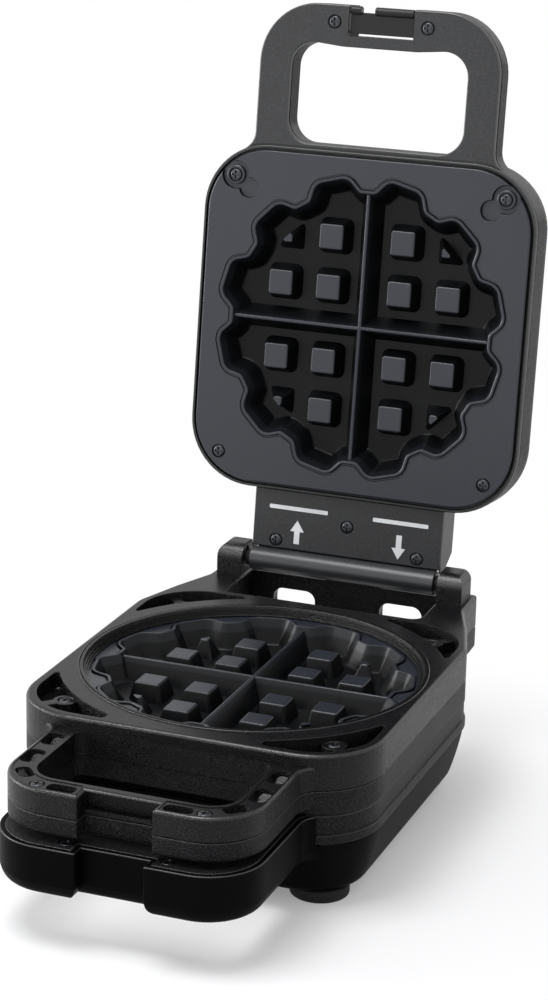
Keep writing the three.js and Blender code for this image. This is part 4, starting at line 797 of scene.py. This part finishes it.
# Latch
# A small moulded plate hung on two steel pins in the slot, with two knuckles and a nose behind.
# It is smooth PBT, darker than the frame round it.
LATCH_HALF = 18.7
nose = [(306.9, 0.6, 0), (306.9, -5.4, 0), (307.6, -7, 0), (308.3, -7, 0), (308.3, 0.6, 0)]
knuckles = [[(-LATCH_HALF, 2.1), (-18.3, 2.5), (-12.6, 2.5), (-12.2, 2.1)],
            [(-4.2, 2.1), (-3.8, 2.5), (18.3, 2.5), (LATCH_HALF, 2.1)]]
latch = shaped(
    box(-LATCH_HALF, 306.9, -1.5, LATCH_HALF, 318.8, 0.6),
    ("UNION", loft(nose, [(-LATCH_HALF, 0), (LATCH_HALF, 0)], "X")),
    ("BEVEL", 0.45),
    *every("UNION", [turned(knuckle, LATCH_AXIS, 0, "X", 32) for knuckle in knuckles]),
    ("DIFFERENCE", turned([(-23, 1.35), (23, 1.35)], LATCH_AXIS, 0, "X", 32)))
latch_plastic = moulded("smooth_black_pbt", "#0b0b0d", "#101012", 0.4, 0.32, grain=0.01, pebble=0.8)
fit(latch, "latch", "latch", latch_plastic, place=LEANING)
for side, low, high in (("left", -21.6, -12.5), ("right", -3.9, 21.6)):
    pin = turned([(low, 0.9), (low + 0.3, 1.2), (high - 0.3, 1.2), (high, 0.9)], LATCH_AXIS, 0, "X", 32)
    fit(pin, f"latch_pin_{side}", "lid", steel, place=LEANING)

# Screws
# Pan-headed steel screws with a cross recess, blackened, all of one make. Each head lies in its
# seat a hair over the face, so a dark ring shows round it. The blackening is uneven, in blotches
# drawn 1.4 mm wide, coarser than real ones.
black_steel, shader, _ = mottled("blackened_steel", "#2b2c2f", "#56575c", 700.0, 3.0, (0.28, 0.42))
shader.inputs["Metallic"].default_value = 0.9
head = [(-7, 1.0), (-6, 1.5), (-1.3, 1.5), (-1.299, 3.4), (-0.75, 3.4), (-0.4, 3.25), (-0.1, 2.9),
        (0.05, 2.4), (0.1, 1.7)]
arms = [rising([square(0, 0, long * 0.7, 0.1, thin * 0.7), square(0, 0, long, 0.1, thin)], (-1.25, 0.6))
        for long, thin in ((2.5, 0.62), (0.62, 2.5))]
master = shaped(turned(head, sides=40), *every("DIFFERENCE", arms))


def screw(name, x, y, face, body, place):
    """One screw, its head's seat at the given face."""
    one = bpy.data.objects.new(name, master.data.copy())
    one.data.transform(Matrix.Translation((x, y, face)))
    fit(one, name, body, black_steel, place=place)


ends = ("front_left", "rear_left", "front_right", "rear_right")
for end, clam_spot, plate_spot in zip(ends, clam_screws, around(PLATE_SCREW, PLATE_SCREW)):
    screw(f"clam_screw_{end}", *clam_spot, BOSS_TOP, "lower_clam", STANDING)
    screw(f"lid_plate_screw_{end}", plate_spot[0], HINGE_BACK + plate_spot[1], PLATE_FACE, "lid", LEANING)
for row, spots, face, body, place in (("clam_handle", handle_screws, HANDLE_TOP, "lower_clam", STANDING),
                                      ("base_handle", base_screws, BASE_TOP, "base", STANDING),
                                      ("lid_handle", arch_screws, FRAME_FACE, "lid", LEANING),
                                      ("bracket", bracket_screws, BRACKET_FACE, "lid", LEANING)):
    for side, spot in zip(("left", "right"), spots):
        screw(f"{row}_screw_{side}", *spot, face, body, place)
screw("bracket_screw_middle", *middle_screw, BRACKET_FACE, "lid", LEANING)
bpy.data.objects.remove(master)

# Print on the bracket
# Two arrows, up on the left and down on the right, with a plain bar over each, in pale ink that is
# pad-printed, so that the plastic's grain shows through.
ink = moulded("pad_printed_ink", "#dddfe1", "#cbcdd0", 0.55, 0.3, grain=0.02, pebble=0.8)


def printed(corners):
    """A flat mark lying on the bracket's face."""
    return loft(corners, [(-1.5, 0), (-1.36, 0)])


def arrow(x, low, high, way):
    """Plain arrow: a stem with a barbed head at its upper or lower end."""
    stem, barb, neck = 1.7, 4.2, high - 6.6
    corners = [(x + stem, low, 0), (x + stem, neck, 0), (x + barb, neck, 0), (x, high, 0),
               (x - barb, neck, 0), (x - stem, neck, 0), (x - stem, low, 0)]
    middle = (low + high) / 2
    return corners if way > 0 else [(2 * x - u, 2 * middle - v, 0) for u, v, _ in corners]


marks = joined(printed(arrow(-30.5, 11, 25, 1)), printed(arrow(32, 10.4, 24.6, -1)),
               printed(square(-30.3, 31.8, 18, 0.6, 1.2)), printed(square(32.2, 31.8, 16.8, 0.6, 1.2)))
fit(marks, "bracket_print", "lid", ink, place=LEANING, replaces=False)

# Lamps on the lid's back
# Two small domed lenses of tinted polycarbonate, red for power and green for ready, each in a round
# hole in the shell.
for (x, y), name, colour, deep, slot in zip(
        lamp_spots, ("indicator_red", "indicator_green"), ("#b3140d", "#1d8f3c"), ("#7d0d09", "#126428"),
        ("red_lens", "green_lens")):
    lamp = moulded(name + "_polycarbonate", colour, deep, 0.12, 0.5, pebble=2.0)
    lamp.node_tree.nodes["Principled BSDF"].inputs["Transmission Weight"].default_value = 0.35
    dome = turned([(-32.2, 1.2), (-32.1, 2.2), (-31.8, 3.1), (-31.2, 3.75), (-30.4, 4), (-28.6, 4)], x, y)
    fit(dome, name, "lid", lamp, place=LEANING)

# Parts inside
# Heating rods, dishes, thermostats and fuse, the swivel's shaft, bush, washer and nut, the yoke,
# the hinge pin with its clip, and the ceramic block keep their own forms and get their finish.
# Unglazed steatite is pale and dull, with soft specks 2 mm wide.
stone, shader, _ = mottled("steatite_ceramic", "#c8c1b0", "#ded8c9", 500.0, 4.0)
shader.inputs["Roughness"].default_value = 0.62
for material, names in (
        (steel, ("base_hinge_pin", "base_hinge_clip", "swivel_shaft", "swivel_bush", "swivel_washer",
                 "swivel_nut", "lower_heat_shield", "upper_heat_shield", "lower_heating_element",
                 "upper_heating_element")),
        (stone, ("terminal_block", "lower_thermostat", "upper_thermostat", "lower_thermal_fuse")),
        (black_steel, ("swivel_yoke",)), (rubber, ("cord_inlet_gland",))):
    for name in names:
        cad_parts[name].data.materials.clear()
        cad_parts[name].data.materials.append(material)


# Floor, sky and lamps
# A pale floor that takes the shadow and turns plain white further off, a lamp overhead, broad
# panels in front and on the left, and a sky that is white to the eye but dim as a source of light.
def shown(tree):
    """One for a ray from the eye and for one that gloss or glass passes on, nought for any other."""
    rays = node(tree, "ShaderNodeLightPath")
    direct = node(tree, "ShaderNodeMath", {0: rays.outputs["Is Camera Ray"],
                                           1: rays.outputs["Is Glossy Ray"]}, operation="MAXIMUM")
    return node(tree, "ShaderNodeMath", {0: direct.outputs["Value"], 1: rays.outputs["Is Transmission Ray"]},
                operation="MAXIMUM").outputs["Value"]


floor_paint, shader, _ = mottled("pale_floor", "#eeeeef", "#f1f1f2", 3.0, 2.0)
where = node(floor_paint, "ShaderNodeTexCoord").outputs["Object"]
shader.inputs["Roughness"].default_value = 0.8
shader.inputs["Specular IOR Level"].default_value = 0.1
reach = node(floor_paint, "ShaderNodeVectorMath", {0: where, 1: (0, -0.14, 0)}, operation="DISTANCE")
# Beside the object a quarter of plain white still shows to the eye, which paints its shadow lighter.
fade = node(floor_paint, "ShaderNodeMapRange", {"Value": reach.outputs["Value"], "From Min": 0.2,
                                                "From Max": 0.42, "To Min": 0.25},
            interpolation_type="SMOOTHSTEP")
far = node(floor_paint, "ShaderNodeMath", {0: fade.outputs["Result"], 1: shown(floor_paint)},
           operation="MULTIPLY")
white = node(floor_paint, "ShaderNodeEmission")
painted = node(floor_paint, "ShaderNodeMixShader", {"Fac": far.outputs["Value"], 1: shader.outputs["BSDF"],
                                                     2: white.outputs["Emission"]})
floor_paint.node_tree.links.new(painted.outputs["Shader"],
                                floor_paint.node_tree.nodes["Material Output"].inputs["Surface"])
sweep = box(-6, -4, -0.02, 6, 8, 0)
sweep.name = "floor"
sweep.data.materials.append(floor_paint)
scene.collection.objects.link(sweep)

world = bpy.data.worlds.new("studio")
world.use_nodes = True
scene.world = world
sky = world.node_tree.nodes["Background"]
way = node(world, "ShaderNodeTexCoord").outputs["Generated"]
height = node(world, "ShaderNodeSeparateXYZ", {"Vector": way}).outputs["Z"]
tint = node(world, "ShaderNodeValToRGB", {"Fac": height})
low, high = tint.color_ramp.elements
low.color, high.color = (0.24, 0.24, 0.245, 1), (0.8, 0.8, 0.81, 1)
low.position, high.position = 0.05, 0.75
seen = node(world, "ShaderNodeMix", {"Factor": shown(world)}, data_type="RGBA")
world.node_tree.links.new(tint.outputs["Color"], seen.inputs[6])
seen.inputs[7].default_value = (1, 1, 1, 1)
world.node_tree.links.new(seen.outputs[2], sky.inputs["Color"])

for name, spot, size, power in (("overhead", (-0.25, -0.3, 1.4), 0.65, 12),
                                ("front_left", (-0.75, -1.8, 0.5), 1.2, 3),
                                ("left", (-1.4, -0.35, 0.5), 0.7, 15)):
    data = bpy.data.lights.new(name, "AREA")
    data.shape, data.size, data.energy = "SQUARE", size, power
    lamp = bpy.data.objects.new(name, data)
    lamp.location = spot
    lamp.rotation_euler = (Vector((0, 0, 0.15)) - Vector(spot)).to_track_quat("-Z", "Y").to_euler()
    scene.collection.objects.link(lamp)
